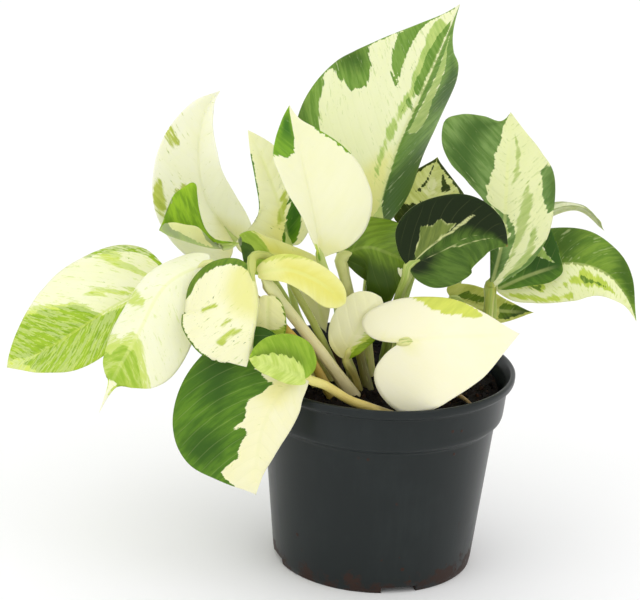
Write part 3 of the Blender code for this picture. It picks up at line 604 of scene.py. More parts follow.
        -110)]), ("dark", [(90, -60), (84, -90), (72, -74), (60, -98), (50, -70), (60, -50), (74, -50)]),
        ("green", [(-4, -110), (-4, -20), (8, 30), (20, 34), (36, 26), (44, 4), (46, -50), (46, -110)]),
        ("light", [(24, -10), (34, 14), (40, 0), (44, -40), (40, -50), (34, -20)]), ("dark", [(0, -110), (6,
        10), (18, 20), (28, -10), (30, -60), (20, -110)]), ("light", [(10, 30), (50, 50), (62, 42), (50, 30),
        (40, 25)]), ("light", [(10, 60), (30, 64), (40, 60), (30, 80), (10, 90)]), ("light", [(60, 10), (70,
        16), (86, 30), (80, 36), (66, 24)]), ("green", [(8, 78), (20, 84), (34, 95), (36, 110), (0, 110)]),
        ("green", [(46, 86), (54, 72), (66, 70), (70, 110), (46, 110)]), ("dark", [(50, 110), (52, 90), (62,
        84), (66, 110)])],
        look=dict(cream="e6e9b8", ivory="d6dea2", green="789650", greenShade="5c7e36", dark="426422",
        lime="b8c67c", limeShade="a0b662", dashes=0.86, dots=0.72),
    ),
    tallRightLobe=dict(
        node="tall_right_lobe", seed=12, midrib=[(50, 10, 127), (62, 12, 133), (78, 14, 139)], face=(0, -1,
        0.2), width=(28, 6), curl=(-8, 0),
        left=[(0, 0), (10, 25), (30, 66), (55, 97), (78, 98), (98, 60), (103, 25), (100, 0)],
        right=[(0, 0), (10, 30), (40, 70), (72, 100), (92, 75), (100, 0)],
        ground="green",
        paint=[("dark", [(30, -110), (110, -110), (110, 60), (80, 40), (50, 0)]), ("light", [(10, -30), (40,
        -50), (70, -50), (90, -20), (60, -30), (30, -10)])],
        look=dict(green="5c8422", greenShade="487016", dark="2c540a", lime="96b450", limeShade="80a03c",
        gaps=0.84),
    ),
    farRightLeaf=dict(
        node="far_right_leaf", seed=13, midrib=[(48, 16, 127), (64, 18, 134), (84, 19, 138), (98, 20, 134),
        (108, 20, 124), (114, 20, 112)], face=(0.1, -0.85, 0.5), width=(18, 17), fold=(5, -5), curl=(-25, -20),
        both=[(0, 0), (2, 35), (12, 75), (35, 100), (50, 98), (64, 75), (78, 40), (90, 12), (100, 0)],
        paint=[("green", [(-5, -110), (110, -110), (110, -4), (60, 2), (30, -2), (-5, 6)]), ("dark", [(38,
        -110), (55, -110), (50, -40), (44, -10), (38, -30)]), ("dark", [(66, -110), (90, -110), (86, -30), (70,
        -30)]), ("light", [(52, 10), (60, 20), (70, 30), (80, 50), (62, 56), (46, 50), (38, 62), (46, 40), (50,
        30)]), ("light", [(31, 35), (30, 62), (28, 70), (18, 46), (14, 48), (20, 38)]), ("green", [(50, 30),
        (60, 34), (70, 46), (62, 48), (52, 40)]), ("light", [(10, 70), (30, 84), (50, 80), (50, 90), (30, 94),
        (10, 86)]), ("green", [(20, 44), (28, 50), (28, 62), (22, 56)])],
        look=dict(cream="eaedc4", ivory="dae3a0", green="76962c", greenShade="5c801e", dark="40620e",
        lime="c2d252", limeShade="acc238", dashes=0.86, gaps=0.68, dots=0.72, jag=6),
    ),
    lowRightLeaf=dict(
        node="low_right_leaf", seed=14, midrib=[(30, 24, 117), (48, 26, 112), (68, 28, 111)], face=(0, -0.9,
        0.5), width=(9, 8), ground="light",
        paint=[("green", [(60, -20), (60, 70), (75, 70), (88, 30), (97, -50), (97, -95), (88, -100), (78, -70),
        (68, -45)]), ("dark", [(70, 70), (88, 30), (97, -50), (90, -60), (78, 20)]), ("green", [(10, -40), (30,
        -60), (50, -50), (40, -30), (20, -20)])],
        look=dict(green="688222", greenShade="547014", dark="263e14", lime="bcc064", limeShade="a6ae46", jag=6),
    ),
    edgeOnLeaf=dict(
        node="edge_on_leaf", seed=15, midrib=[(70, 50, 151), (86, 52, 155), (99, 50, 145)], face=(0.1, 0.2,
        0.98), width=(12, 12), fold=(10, 10), ground="light",
        paint=[("green", [(0, 50), (40, 55), (80, 50), (110, 20), (110, 110), (0, 110)]), ("green", [(0, -60),
        (40, -65), (80, -60), (110, -30), (110, -110), (0, -110)])],
        look=dict(lime="ccd2a6", limeShade="b6c088", green="78883a", greenShade="8c9a50", gaps=0.6),
    ),
    rimLeaf=dict(
        node="rim_leaf", seed=16, midrib=[(-34, -52, 104), (-42, -56, 97), (-48, -58, 85), (-51, -59, 70), (-51,
        -59, 50)], face=(-0.05, -1, 0.25), width=(12, 40), fold=(-5, -5), curl=(-15, -10),
        left=[(0, 0), (-2, 30), (10, 75), (30, 100), (50, 90), (70, 60), (88, 20), (100, 0)],
        right=[(0, 0), (-4, 30), (0, 62), (18, 87), (42, 100), (65, 98), (82, 78), (92, 42), (97, 12), (100,
        0)],
        paint=[("green", [(20, 20), (24, 30), (28, 50), (0, 70), (-10, 110), (93, 110), (90, 90), (80, 68), (75,
        42), (72, 27), (62, 20), (55, 15), (52, 20), (56, 30), (50, 22), (44, 24), (40, 28), (30, 20), (25,
        22)]), ("dark", [(10, 80), (30, 72), (42, 50), (50, 50), (46, 80), (36, 110), (10, 110)]), ("dark",
        [(60, 40), (70, 50), (74, 80), (66, 90), (60, 70)]), ("yellow", [(0, -30), (28, -20), (32, 18), (0,
        30)])],
        look=dict(cream="f5f2ce", ivory="f0ecb6", green="5c861c", greenShade="467012", dark="325a0c",
        lime="c4ce64", limeShade="b0be4c", jag=4, dashes=0.95, dots=0.8, gaps=0.8, vein=0.12, ribPaint="d6dc96",
        rib=0.12, yellow="eae496"),
    ),
    rimLeafLobe=dict(
        node="rim_leaf_lobe", seed=17, midrib=[(-32, -58, 104), (-44, -62, 110), (-56, -64, 114)], face=(0,
        -0.9, 0.5), width=(5, 15), curl=(0, 15),
        left=[(0, 0), (0, 50), (30, 100), (70, 90), (100, 0)],
        right=[(0, 0), (-8, 30), (-2, 72), (20, 100), (50, 102), (80, 75), (96, 35), (100, 0)],
        ground="light",
        # the dark strip along the lower edge of the green is painted shade in the crease of the fold
        paint=[("green", [(-10, 34), (30, 42), (60, 36), (110, 30), (110, 110), (-10, 110)]), ("dark", [(30,
        34), (60, 28), (90, 26), (90, 36), (60, 42), (30, 46)])],
        # the dark colour here is that painted crease shade
        look=dict(lime="b0c84e", limeShade="cede7a", green="7ca022", greenShade="92b234", dark="547010",
        gaps=0.8, rib=0.1),
    ),
    frontHeartLeaf=dict(
        node="front_heart_leaf", seed=18, midrib=[(8, -38, 116), (24, -43, 121), (41, -44, 123), (58, -41,
        124)], face=(-0.02, -0.9, 0.45), width=(20, 31), fold=(-8, 0), curl=(-15, -10),
        left=[(0, 0), (-12, 5), (-27, 20), (-36, 48), (-34, 76), (-16, 98), (10, 102), (34, 95), (52, 80), (70,
        55), (87, 22), (100, 0)],
        right=[(0, 0), (-16, 12), (-28, 35), (-24, 70), (-8, 97), (15, 100), (42, 86), (66, 60), (86, 24), (100,
        0)],
        quilting=0.05,
        paint=[("light", [(50, -60), (56, -50), (70, -50), (80, -70), (78, -95), (60, -110), (50, -100)]),
        ("light", [(-20, -12), (-30, -30), (-26, -50), (-12, -40), (-4, -20), (-4, -6), (-12, -4)]), ("yellow",
        [(0, -100), (12, -80), (10, 0), (20, 30), (0, 40)])],
        look=dict(cream="f6f2d4", ivory="f5f0c8", yellow="eeebaa", lime="d0d854", limeShade="c4ce4c",
        dashes=1.1, dots=0.9, rib=0.08, vein=0.02, relief=0.12),
    ),
    besideHeartLeaf=dict(
        node="beside_heart_leaf", seed=19, midrib=[(-16, -22, 101), (-13.5, -22, 111), (-8, -21, 121), (-2, -20,
        130)], face=(-0.1, -0.95, 0.3), width=(13, 9), curl=(-15, -10),
        left=[(0, 0), (2, 30), (15, 68), (35, 95), (60, 100), (82, 80), (95, 45), (100, 0)],
        right=[(0, 0), (5, 30), (20, 70), (45, 100), (70, 95), (90, 50), (100, 0)],
        paint=[("light", [(2, 10), (20, 30), (40, 42), (60, 62), (70, 110), (0, 110)]), ("green", [(4, 40), (30,
        56), (52, 76), (56, 110), (0, 110)]), ("yellow", [(-10, -110), (20, -110), (20, 40), (-10, 40)])],
        look=dict(cream="f6f3ce", ivory="eceab0", green="96b228", greenShade="809e1e", lime="ccd85a",
        yellow="d6d084", dashes=1.1, rib=0.15),
    ),
    innerLeaf=dict(
        node="inner_leaf", seed=20, midrib=[(-32, 13, 125), (-30, 13, 114), (-26, 12, 101)], face=(0, -1, 0.1),
        width=(6, 8),
        paint=[],
        look=dict(cream="f0eece", ivory="e8e4b8", dashes=1.1),
    ),
    yellowLeaf=dict(
        node="yellow_leaf", seed=21, midrib=[(-55, -38, 143.5), (-42, -42, 147), (-29, -42, 142.5), (-17, -39,
        132.5)], face=(0, -0.9, 0.4), width=(7, 8),
        left=[(0, 0), (0, 40), (20, 90), (50, 100), (75, 90), (90, 60), (100, 0)],
        right=[(0, 0), (2, 35), (30, 70), (60, 90), (80, 95), (94, 60), (100, 0)],
        paint=[("light", [(10, -110), (20, -70), (40, -80), (56, -110)]), ("yellow", [(30, -50), (95, -60),
        (100, 10), (90, 60), (30, 60)])],
        look=dict(cream="ececb0", ivory="e4e286", yellow="dcd65c", lime="ced668", limeShade="beca54",
        green="869e28", dashes=1),
    ),
    yellowUpperLeaf=dict(
        node="yellow_upper_leaf", seed=22, midrib=[(-29, -12, 139), (-42, -16, 144), (-54, -20, 147), (-63, -24,
        147)], face=(0, -0.9, 0.4), width=(10, 10), curl=(10, 15),
        left=[(0, 0), (10, 40), (40, 80), (70, 100), (90, 95), (103, 50), (100, 0)],
        right=[(0, 0), (10, 40), (40, 55), (70, 70), (87, 100), (97, 92), (104, 45), (100, 0)],
        paint=[("light", [(66, -110), (110, -110), (110, 110), (72, 110), (66, 30)]), ("green", [(84, -110),
        (110, -110), (110, 110), (86, 110), (82, 20)]), ("dark", [(90, -90), (110, -90), (110, 90), (92, 90)]),
        ("yellow", [(30, -100), (75, -100), (75, 60), (30, 50)])],
        look=dict(cream="ececb2", ivory="e6e692", yellow="deda60", lime="9eba3e", limeShade="88a82c",
        green="547414", greenShade="40620c", dark="284806"),
    ),
    youngLeaf=dict(
        node="young_leaf", seed=23, midrib=[(-50, -39, 134), (-50, -40, 126), (-49, -40, 117), (-45, -40, 107)],
        face=(0.1, -1, 0.2), width=(8, 7), curl=(15, -10),
        both=[(0, 0), (2, 45), (20, 90), (45, 100), (70, 80), (90, 35), (100, 0)],
        paint=[("light", [(50, -110), (90, -110), (110, 0), (110, 110), (60, 110), (60, 0)]), ("green", [(84,
        -110), (110, -110), (110, 110), (90, 110)])],
        edges=[(-1, 10, 90, 0.8)],
        look=dict(cream="f2f0be", ivory="ece9a0", lime="b0c646", limeShade="9ab232", green="86a024"),
    ),
    backLeaf=dict(
        node="back_leaf", seed=24, midrib=[(16, 44, 145), (17, 46, 155), (18, 48, 165), (20, 50, 176)], face=(0,
        -1, 0.3), width=(17, 19), curl=(10, 10), ground="light",
        paint=[("dark", [(-10, -110), (30, -110), (30, -20), (24, 30), (30, 110), (-10, 110)]), ("green", [(-10,
        -110), (40, -110), (36, -30), (30, 30), (40, 110), (-10, 110)]), ("green", [(50, -26), (62, -12), (84,
        -8), (90, -20), (84, -22), (66, -20), (52, -36)]), ("green", [(50, 30), (60, 60), (80, 50), (70, 30)]),
        ("cream", [(40, 0), (50, 16), (70, 10), (66, -6), (50, -14)])],
        edges=[(-1, 40, 100, 2.6), (1, 40, 100, 2.2)],
        look=dict(cream="ececc4", lime="e0e4a4", limeShade="c6cc76", green="3e4e18", greenShade="2e3e0e",
        dark="222c0c", jag=6),
    ),
)
for name, plan in leafPlans.items():
    piece = bladeMesh(name, plan)
    piece.data.materials.append(leafSkin(f"{name}Skin", {**leafLook, **plan["look"]}))
    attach(piece, "root")
    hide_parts(plan["node"])
print(len(leafPlans), "leaves are in place")


# Stalks, stem and root: one tree of nodes makes each from its own line

def stalkTree():
    sizes = {"Foot radius": 2.0, "Top radius": 1.5, "Swelling": 0.2, "Groove": 0.2}
    board, given = growerBoard("stalk", "Line", "Stalk", sizes, {"Rings": 40, "Sides": 20, "Seed": 1})
    line = board.shape("ResampleCurve", Curve=given, Count=given.other("Rings"))
    run = board.shape("SplineParameter")
    foot, top, swelling = (given.other(name) for name in ("Foot radius", "Top radius", "Swelling"))
    knuckle = board.ease(run, 0.8, 0.9) * board.ease(run, 1.0, 0.93) * swelling
    sheath = board.ease(run, 0.3, 0.0) * swelling
    place = board.shape("InputPosition")
    lump = board.node("ShaderNodeTexNoise", {"noise_dimensions": "4D"},
                      {"Vector": place, "W": given.other("Seed") * 3.7, "Scale": 130.0})
    radius = (foot + (top - foot) * run) * (1 + knuckle + sheath + (lump - 0.5) * 0.16)
    radius = radius * (1 - board.ease(run, 0.94, 1.0) * 0.6)
    line = board.keep(line, "FLOAT", "run", run)
    ring = board.shape("CurvePrimitiveCircle", Resolution=given.other("Sides"), Radius=mm)
    sideX, sideY, _ = board.parts(place)
    dip = board.ease(sideY, 0.2 * mm, 1.0 * mm) * board.ease(board.size(sideX), 0.62 * mm, 0.1 * mm)
    ring = board.keep(ring, "FLOAT_VECTOR", "around", place)
    ring = board.shape("SetPosition", Geometry=ring, Offset=board.join(0.0, dip * given.other("Groove") * -mm, 0.0))
    stalk = board.shape("CurveToMesh", Curve=line, Profile_Curve=ring, Scale=radius, Fill_Caps=True)
    return finishGrower(board, board.shape("SetShadeSmooth", Geometry=stalk), given)


def lineThrough(points):  # a curve through points in mm
    line = bpy.data.curves.new("line", "CURVE")
    line.dimensions = "3D"
    spline = line.splines.new("POLY")
    path = evenSpacing(smoothCurve(points, 200), 60)[0]
    spline.points.add(len(path) - 1)
    for point, place in zip(spline.points, path):
        point.co = (*(place * mm), 1.0)
    return line


def stalkSkin(name, look):
    skin, board, paints = skinBoard(name, look)
    run = board.stored("run", out="Fac")
    sideX, sideY, _ = board.parts(board.stretch(board.stored("around"), (1000, 1000, 1000)))
    fibre = board.cloud(board.join(sideX * 2.2, sideY * 2.2, run * 5), 2.2, 3.0)
    patch = board.cloud(board.inPlace(), 130.0, 3.0)
    height = run + (patch - 0.5) * 0.3
    colour = board.blend(board.ease(height, 0.02, 0.4), paints["foot"], paints["middle"])
    colour = board.blend(board.ease(height, 0.5, 0.95), colour, paints["top"])
    colour = board.blend(board.ease(fibre + sideX * 0.12, 0.52, 0.64) * 0.75, colour, paints["stripe"])
    scar = board.ease(patch, 0.6, 0.66) * look["scars"]
    colour = board.blend(scar, colour, paints["bark"])
    board.finish({
        "Base Color": colour,
        "Roughness": look["gloss"] + (fibre - 0.5) * 0.12 + scar * 0.2,
        "Normal": board.bump(0.4, 0.3 * mm, fibre + scar * 0.4),
        "Subsurface Weight": 0.2,
        "Subsurface Radius": (1.0, 1.0, 0.4),
        "Subsurface Scale": 0.0015,
    })
    return skin


def upIntoBlade(route, plan, thick):  # carries a petiole from its last point into the underside of its midrib
    base, onward = (np.asarray(point, float) for point in plan["midrib"][:2])
    forward = unit(onward - base)
    face = unit(np.asarray(plan["face"], float))
    below = face - (face @ forward) * forward
    base = base - below * thick * 0.7
    return [*route, tuple(base), tuple(base + forward * 6 + below * thick * 0.3)]


stalkLook = dict(
    foot="c4ba78", middle="b0be60", top="becc76", stripe="8ca63e",
    bark="785428", scars=0.0, gloss=0.42,
)
stalkPlans = dict(  # mm, each route from below the soil upward
    farLeftPetiole=dict(
        node="far_left_petiole", seed=1, radius=(2.2, 1.6), leaf="farLeftLeaf",
        route=[(-26, -11, 80), (-30, -11, 86.2), (-40, -11, 103), (-55, -7, 120), (-75, -2, 127), (-92, 0,
        126)],
    ),
    hangingLeftPetiole=dict(
        node="hanging_left_petiole", seed=2, radius=(2.2, 1.6), leaf="hangingLeftLeaf",
        look=dict(foot="927e36", middle="bc9c34", top="dee096", stripe="a0781c"),
        route=[(-19, -27, 80), (-22, -28, 86.2), (-32, -32, 105), (-43, -36, 119), (-54, -36, 130), (-65, -32,
        138), (-75, -27, 142.5)],
    ),
    uprightLeftPetiole=dict(
        node="upright_left_petiole", seed=3, radius=(2.2, 1.5), leaf="uprightLeftLeaf",
        route=[(-23, 3, 80), (-26, 4, 86.2), (-32, 5, 97), (-43, 8, 114), (-56, 10, 132), (-68, 12, 142)],
    ),
    roundFrontPetiole=dict(
        node="round_front_petiole", seed=4, radius=(2, 1.6), leaf="roundFrontLeaf",
        look=dict(foot="787a32", middle="a0a850", top="bec468"),
        route=[(-15, -13, 80), (-18, -14, 86.2), (-26, -18, 106), (-38, -23, 129), (-49, -28, 147), (-57.5, -37,
        150.5)],
    ),
    curledPetiole=dict(
        node="curled_petiole", seed=5, radius=(2, 1.5), leaf="curledLeaf",
        route=[(-21, -4, 80), (-24, -4, 86.2), (-30, -4, 98), (-39, -4, 115), (-43, -3, 130), (-44, -2, 143)],
    ),
    creamHeartPetiole=dict(
        node="cream_heart_petiole", seed=6, radius=(2.2, 1.6), leaf="creamHeartLeaf",
        route=[(-11, 0, 80), (-13, -1, 86.2), (-19, -5, 105), (-22, -11, 127), (-28, -18, 142)],
    ),
    topPetiole=dict(
        node="top_petiole", seed=7, radius=(2.8, 2), leaf="topLeaf",
        route=[(-5, 5, 80), (-6, 6, 86.2), (-8, 9, 105), (-8, 11, 130), (-6, 13, 152)],
    ),
    darkGreenPetiole=dict(
        node="dark_green_petiole", seed=8, radius=(2.4, 2), leaf="darkGreenLeaf",
        look=dict(foot="5c642e", middle="78843c", top="b4c06c"),
        route=[(-1, -1, 80), (0, -2, 86.2), (2, -6, 105), (6, -16, 130), (9, -21, 142)],
    ),
    saddlePetiole=dict(
        node="saddle_petiole", seed=9, radius=(2, 2.6), leaf="saddleLeaf",
        look=dict(foot="605c2e", middle="888036", top="ced288", stripe="96a054"),
        route=[(-4, -13, 80), (-6, -12, 86.2), (-11, -10, 104), (-16, -10, 126), (-19.5, -10, 139)],
    ),
    tallRightPetiole=dict(
        node="tall_right_petiole", seed=10, radius=(2.8, 2.2), leaf="tallRightLeaf",
        look=dict(foot="d8de80", middle="bec460", top="a6aa46"),
        route=[(20, 4, 80), (28, 2, 86.6), (38, 0, 95), (45, -2, 112), (46, 0, 127)],
    ),
    farRightPetiole=dict(
        node="far_right_petiole", seed=11, radius=(2.2, 1.6), leaf="farRightLeaf",
        look=dict(foot="c4cc80", middle="bac470", top="aab250"),
        route=[(10, 12, 80), (20, 12, 86.2), (37, 12, 97), (48, 10, 111), (48, 14, 124)],
    ),
    lowRightPetiole=dict(
        node="low_right_petiole", seed=12, radius=(1.8, 1.4), leaf="lowRightLeaf",
        route=[(4, 8, 80), (10, 12, 86.2), (22, 20, 98), (28, 22, 106), (30, 24, 112)],
    ),
    edgeOnPetiole=dict(
        node="edge_on_petiole", seed=13, radius=(2, 1.4), leaf="edgeOnLeaf",
        look=dict(foot="b0b876", middle="b6c07a", top="c2ca80"),
        route=[(8, 17, 80), (13, 20, 86.2), (25, 26, 101), (30, 31, 113), (34, 37, 124), (51, 46, 140), (68, 50,
        149)],
    ),
    rimPetiole=dict(
        node="rim_petiole", seed=14, radius=(2.2, 2), leaf="rimLeaf",
        look=dict(foot="766238", middle="ceba64", top="ece68a", stripe="a8964e"),
        route=[(12, -39, 80), (-3, -43, 86.6), (-13, -46, 91), (-24, -48, 98), (-31, -50, 101)],
    ),
    frontHeartPetiole=dict(
        node="front_heart_petiole", seed=15, radius=(2.4, 1.8), leaf="frontHeartLeaf",
        look=dict(foot="8c8846", middle="c4c678", top="dede96"),
        route=[(25, -31, 80), (22, -30, 86.2), (17, -29, 96), (10, -30, 108), (7, -35, 114)],
    ),
    besideHeartPetiole=dict(
        node="beside_heart_petiole", seed=16, radius=(2, 1.7), leaf="besideHeartLeaf",
        look=dict(foot="544622", middle="968a46", top="d6d17e"),
        route=[(-8, -16, 80), (-10, -17, 86.2), (-12, -18, 92), (-15.5, -21, 99)],
    ),
    yellowPetiole=dict(
        node="yellow_petiole", seed=17, radius=(3, 2.4), groove=0.5,
        look=dict(foot="ccbe8c", middle="e4daa4", top="e8e8ae", stripe="b8ae68"),
        route=[(-10, -19, 80), (-14, -21, 86.2), (-27, -26, 105), (-41, -31, 124), (-53, -36.5, 140.5)],
    ),
    backPetiole=dict(
        node="back_petiole", seed=18, radius=(2, 1.5), leaf="backLeaf",
        route=[(1, 11, 80), (2, 14, 86.2), (8, 26, 112), (14, 36, 134), (15.5, 42, 143)],
    ),
    oldStem=dict(
        node="old_stem", slot="old_stem_bark", seed=31, radius=(2.4, 1.6), groove=0.0, swelling=0.3,
        look=dict(foot="342218", middle="482e22", top="b09c76", stripe="281812", scars=0.8, gloss=0.7),
        route=[(-20, 9, 80), (-20, 9, 85.2), (-21, 8, 96), (-23, 7, 107)],
    ),
    surfaceRoot=dict(
        node="surface_root", seed=32, radius=(1.0, 0.7), groove=0.0, swelling=0.3,
        look=dict(foot="967c58", middle="b09668", top="8c704e", stripe="6e5438", scars=0.5, gloss=0.7),
        route=[(29, -17, 82), (31, -20, 85.3), (35, -25, 88), (41, -31, 85.3), (42, -32, 83.5)],
    ),
)
stalkNodes = stalkTree()
for name, plan in stalkPlans.items():
    points, radius = plan["route"], plan["radius"]
    if "leaf" in plan:
        points = upIntoBlade(points, leafPlans[plan["leaf"]], radius[1])
    skin = stalkSkin(f"{name}Skin", {**stalkLook, **plan.get("look", {})})
    piece = grow(name, lineThrough(points), stalkNodes, {
        "Skin": skin, "Foot radius": radius[0], "Top radius": radius[1], "Groove": plan.get("groove", 0.28),
        "Swelling": plan.get("swelling", 0.22), "Seed": plan["seed"],
    })
    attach(piece, "root")
    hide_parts(plan["node"])
print(len(stalkPlans), "stalks are in place")


# Pot

potBuild = dict(  # mm
    steps=160, sharp=40,  # degrees that an edge turns before it shows
    notches=4, notchWidth=16.0, notchHeight=2.6, notchTurn=-73.0, notchLip=0.008, footRadius=45.0,
    footRing=(41.9, 45.6),
    drains=6, drainRadius=3.5, drainRing=29.0, drainDepth=20, drainSteps=32,
)
potProfile = [  # radius and height in mm, from the middle of the floor up the inside, over the rim and down
    (0, 5.4), (30, 5.4), (43.4, 5.4), (44.1, 6.1), (50.9, 69.4), (51.6, 70.4), (53.9, 71.2), (54.2, 72),
    (55.5, 87), (56.1, 88.6), (57.5, 90.9), (57.8, 91.5), (58.3, 91.9), (59, 92), (59.6, 91.8), (59.95, 91.3),
    (60, 90.7), (59.9, 89.2), (59.6, 88.4), (58.9, 87.8), (57.6, 87.3), (57.1, 86.8), (56.9, 86), (55.9, 75),
    (55.6, 72.8), (55.2, 71.7), (54.4, 70.9), (53.2, 70.1), (52.5, 69.3), (52.3, 68.4), (49, 37), (45.7, 5.4),
    (45.4, 3.2), (44.9, 0.5), (44.4, 0), (42.9, 0), (42.4, 0.4), (42.1, 3.4), (41.5, 4), (30, 4), (13, 4),
    (12.6, 3.6), (12.2, 0.4), (11.8, 0), (0, 0),
]
potLook = dict(plastic="1a2020", bloom="2c3333", dirt="341e14", gloss=0.33)


def potMesh():
    build = potBuild
    whole = 2 * math.pi
    turn = whole / build["notches"]
    start = math.radians(build["notchTurn"])
    halfNotch = build["notchWidth"] / 2 / build["footRadius"]
    angles = {round(whole * k / build["steps"], 5) for k in range(build["steps"])}
    for number in range(build["notches"]):
        for edge in (-halfNotch - build["notchLip"], -halfNotch, halfNotch, halfNotch + build["notchLip"]):
            angles.add(round((start + number * turn + edge) % whole, 5))
    bm = bmesh.new()
    columns = []
    for angle in sorted(angles):
        off = (angle - start + turn / 2) % turn - turn / 2
        lift = build["notchHeight"] if abs(off) <= halfNotch + 0.001 else 0
        column = []
        for radius, height in potProfile:
            if build["footRing"][0] < radius < build["footRing"][1]:
                height = max(height, lift)
            column.append(bm.verts.new(onRing(radius, angle, height)))
        columns.append(column)
    for first, second in zip(columns, columns[1:] + columns[:1]):
        for k in range(len(potProfile) - 1):
            bm.faces.new((first[k], first[k + 1], second[k + 1], second[k]))
    bmesh.ops.remove_doubles(bm, verts=bm.verts, dist=0.004 * mm)
    bmesh.ops.recalc_face_normals(bm, faces=bm.faces)
    body = addObject("potBody", makeMesh("potBody", bm))
    cutters = []
    for number in range(build["drains"]):
        bm = bmesh.new()
        radius = build["drainRadius"] * mm
        bmesh.ops.create_cone(bm, cap_ends=True, segments=build["drainSteps"], radius1=radius, radius2=radius,
                              depth=build["drainDepth"] * mm)
        middle = onRing(build["drainRing"], start + (number + 0.5) * whole / build["drains"], 4)
        bmesh.ops.translate(bm, verts=bm.verts, vec=middle)
        cutter = addObject("drain", makeMesh("drain", bm))
        cut = body.modifiers.new("drain", "BOOLEAN")
        cut.operation = "DIFFERENCE"
        cut.solver = "EXACT"
        cut.object = cutter
        cutters.append(cutter)
    piece = madePlain(body, "nurseryPot")
    for cutter in cutters:
        bpy.data.objects.remove(cutter)
    piece.data.shade_smooth()
    piece.data.set_sharp_from_angle(angle=math.radians(build["sharp"]))
    return piece


def potSkin():
    skin, board, paints = skinBoard("potPlastic", potLook)
    coords = board.inPlace()
    across, _, height = board.parts(coords)
    grain = board.cloud(coords, 1800.0, 3.0)
    cloud = board.cloud(coords, 26.0, 4.0, 0.6)
    scuff = board.cloud(board.stretch(coords, (1, 1, 0.12)), 240.0, 3.0, 0.7)
    speck = board.node("ShaderNodeTexVoronoi", {"feature": "F1"},
                       {"Vector": coords, "Scale": 210.0, "Randomness": 1.0})
    pick = board.cloud(coords, 60.0, 1.0)
    low = board.ease(height, 0.022, 0.0) + board.ease(across, 0.02, 0.06) * board.ease(height, 0.06, 0.0) * 0.5
    dirt = board.ease(board.cloud(coords, 95.0, 5.0, 0.7) + low * 0.32, 0.74, 0.86)
    dirt = board.most(dirt * 0.8, board.ease(speck, 0.22, 0.14) * board.ease(pick + low * 0.12, 0.6, 0.66))
    bloom = board.ease(cloud + (scuff - 0.5) * 0.4, 0.45, 0.8)
    colour = board.blend(bloom * 0.3, paints["plastic"], paints["bloom"])
    board.finish({
        "Base Color": board.blend(dirt, colour, paints["dirt"]),
        "Roughness": potLook["gloss"] + bloom * 0.12 + dirt * 0.25,
        "Normal": board.bump(0.3, 0.12 * mm, grain * 0.4 + scuff * 0.5 + dirt * 1.5),
        "Specular IOR Level": 0.24,
    })
    return skin


pot = potMesh()
pot.data.materials.append(potSkin())
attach(pot, "root")
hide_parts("pot")
print("the pot is turned")


# Soil, with crumbs of bark and peat over it

soilBuild = dict(  # mm
    top=84.4, rim=53.2, edge=46, edgeRun=7, edgeDrop=2.0, rings=64, steps=180, lumps=2.6, fineLumps=0.9,
    side=[(53.4, 74), (53.2, 71.8), (51.6, 71.0), (50.6, 70), (43.8, 5.75)],  # radius and height, going down
    strewn=52.6, crumbs=208000.0, seed=4,
)
crumbPlans = dict(  # the share of all crumbs, and their sizes in mm
    peatCrumbs=dict(share=1.0, smallest=0.5, largest=2.6, look=dict(
        dark="090705", brown="160e0a", warm="2e1c12", fibre="785430", fibres=0.3)),
    barkCrumbs=dict(share=0.16, smallest=0.6, largest=3.4, look=dict(
        dark="1e120c", brown="382014", warm="5c3822", fibre="a0764a", fibres=0.5)),
)


def soilHeight(x, y):
    build = soilBuild
    lump = noise.fractal(Vector((x * 0.09, y * 0.09, 3)), 0.8, 2.0, 4) * build["lumps"]
    fine = noise.fractal(Vector((x * 0.5, y * 0.5, 9)), 0.7, 2.0, 3) * build["fineLumps"]
    edge = max(0.0, (math.hypot(x, y) - build["edge"]) / build["edgeRun"]) ** 2 * build["edgeDrop"]
    return build["top"] + lump + fine - edge


def soilMesh():
    build = soilBuild
    rings, steps = build["rings"], build["steps"]
    side = [(build["rim"] * ring / rings, None) for ring in range(1, rings + 1)] + build["side"]
    bm = bmesh.new()
    loops = []
    for radius, height in side:
        loop = []
        for step in range(steps):
            angle = 2 * math.pi * step / steps
            at = soilHeight(radius * math.cos(angle), radius * math.sin(angle)) if height is None else height
            loop.append(bm.verts.new(onRing(radius, angle, at)))
        loops.append(loop)
    middle = bm.verts.new(Vector((0, 0, soilHeight(0, 0))) * mm)
    foot = bm.verts.new(Vector((0, 0, build["side"][-1][1])) * mm)
    for first, second in zip(loops, loops[1:]):
        for k in range(steps):
            n = (k + 1) % steps
            bm.faces.new((first[k], second[k], second[n], first[n]))
    for k in range(steps):
        n = (k + 1) % steps
        bm.faces.new((middle, loops[0][k], loops[0][n]))
        bm.faces.new((foot, loops[-1][n], loops[-1][k]))
    bmesh.ops.recalc_face_normals(bm, faces=bm.faces)
    piece = addObject("soilBed", makeMesh("soilBed", bm))
    piece.data.shade_smooth()
    return piece


def soilSkin(name, look):
    skin, board, paints = skinBoard(name, look)
    coords = board.inPlace()
    broad = board.cloud(coords, 90.0, 4.0, 0.6)
    fine = board.cloud(coords, 900.0, 4.0, 0.7)
    fibre = board.cloud(board.stretch(coords, (1, 0.25, 0.6)), 1400.0, 2.0)
    colour = board.blend(board.ease(broad, 0.35, 0.7), paints["dark"], paints["brown"])
    colour = board.blend(board.ease(fine, 0.56, 0.74) * 0.7, colour, paints["warm"])
    colour = board.blend(board.ease(fibre, 0.66, 0.7) * look["fibres"], colour, paints["fibre"])
    board.finish({
        "Base Color": colour,
        "Roughness": 0.86 + (fine - 0.5) * 0.2,
        "Normal": board.bump(0.8, 0.8 * mm, broad * 0.6 + fine * 0.6),
        "Specular IOR Level": 0.12,
    })
    return skin


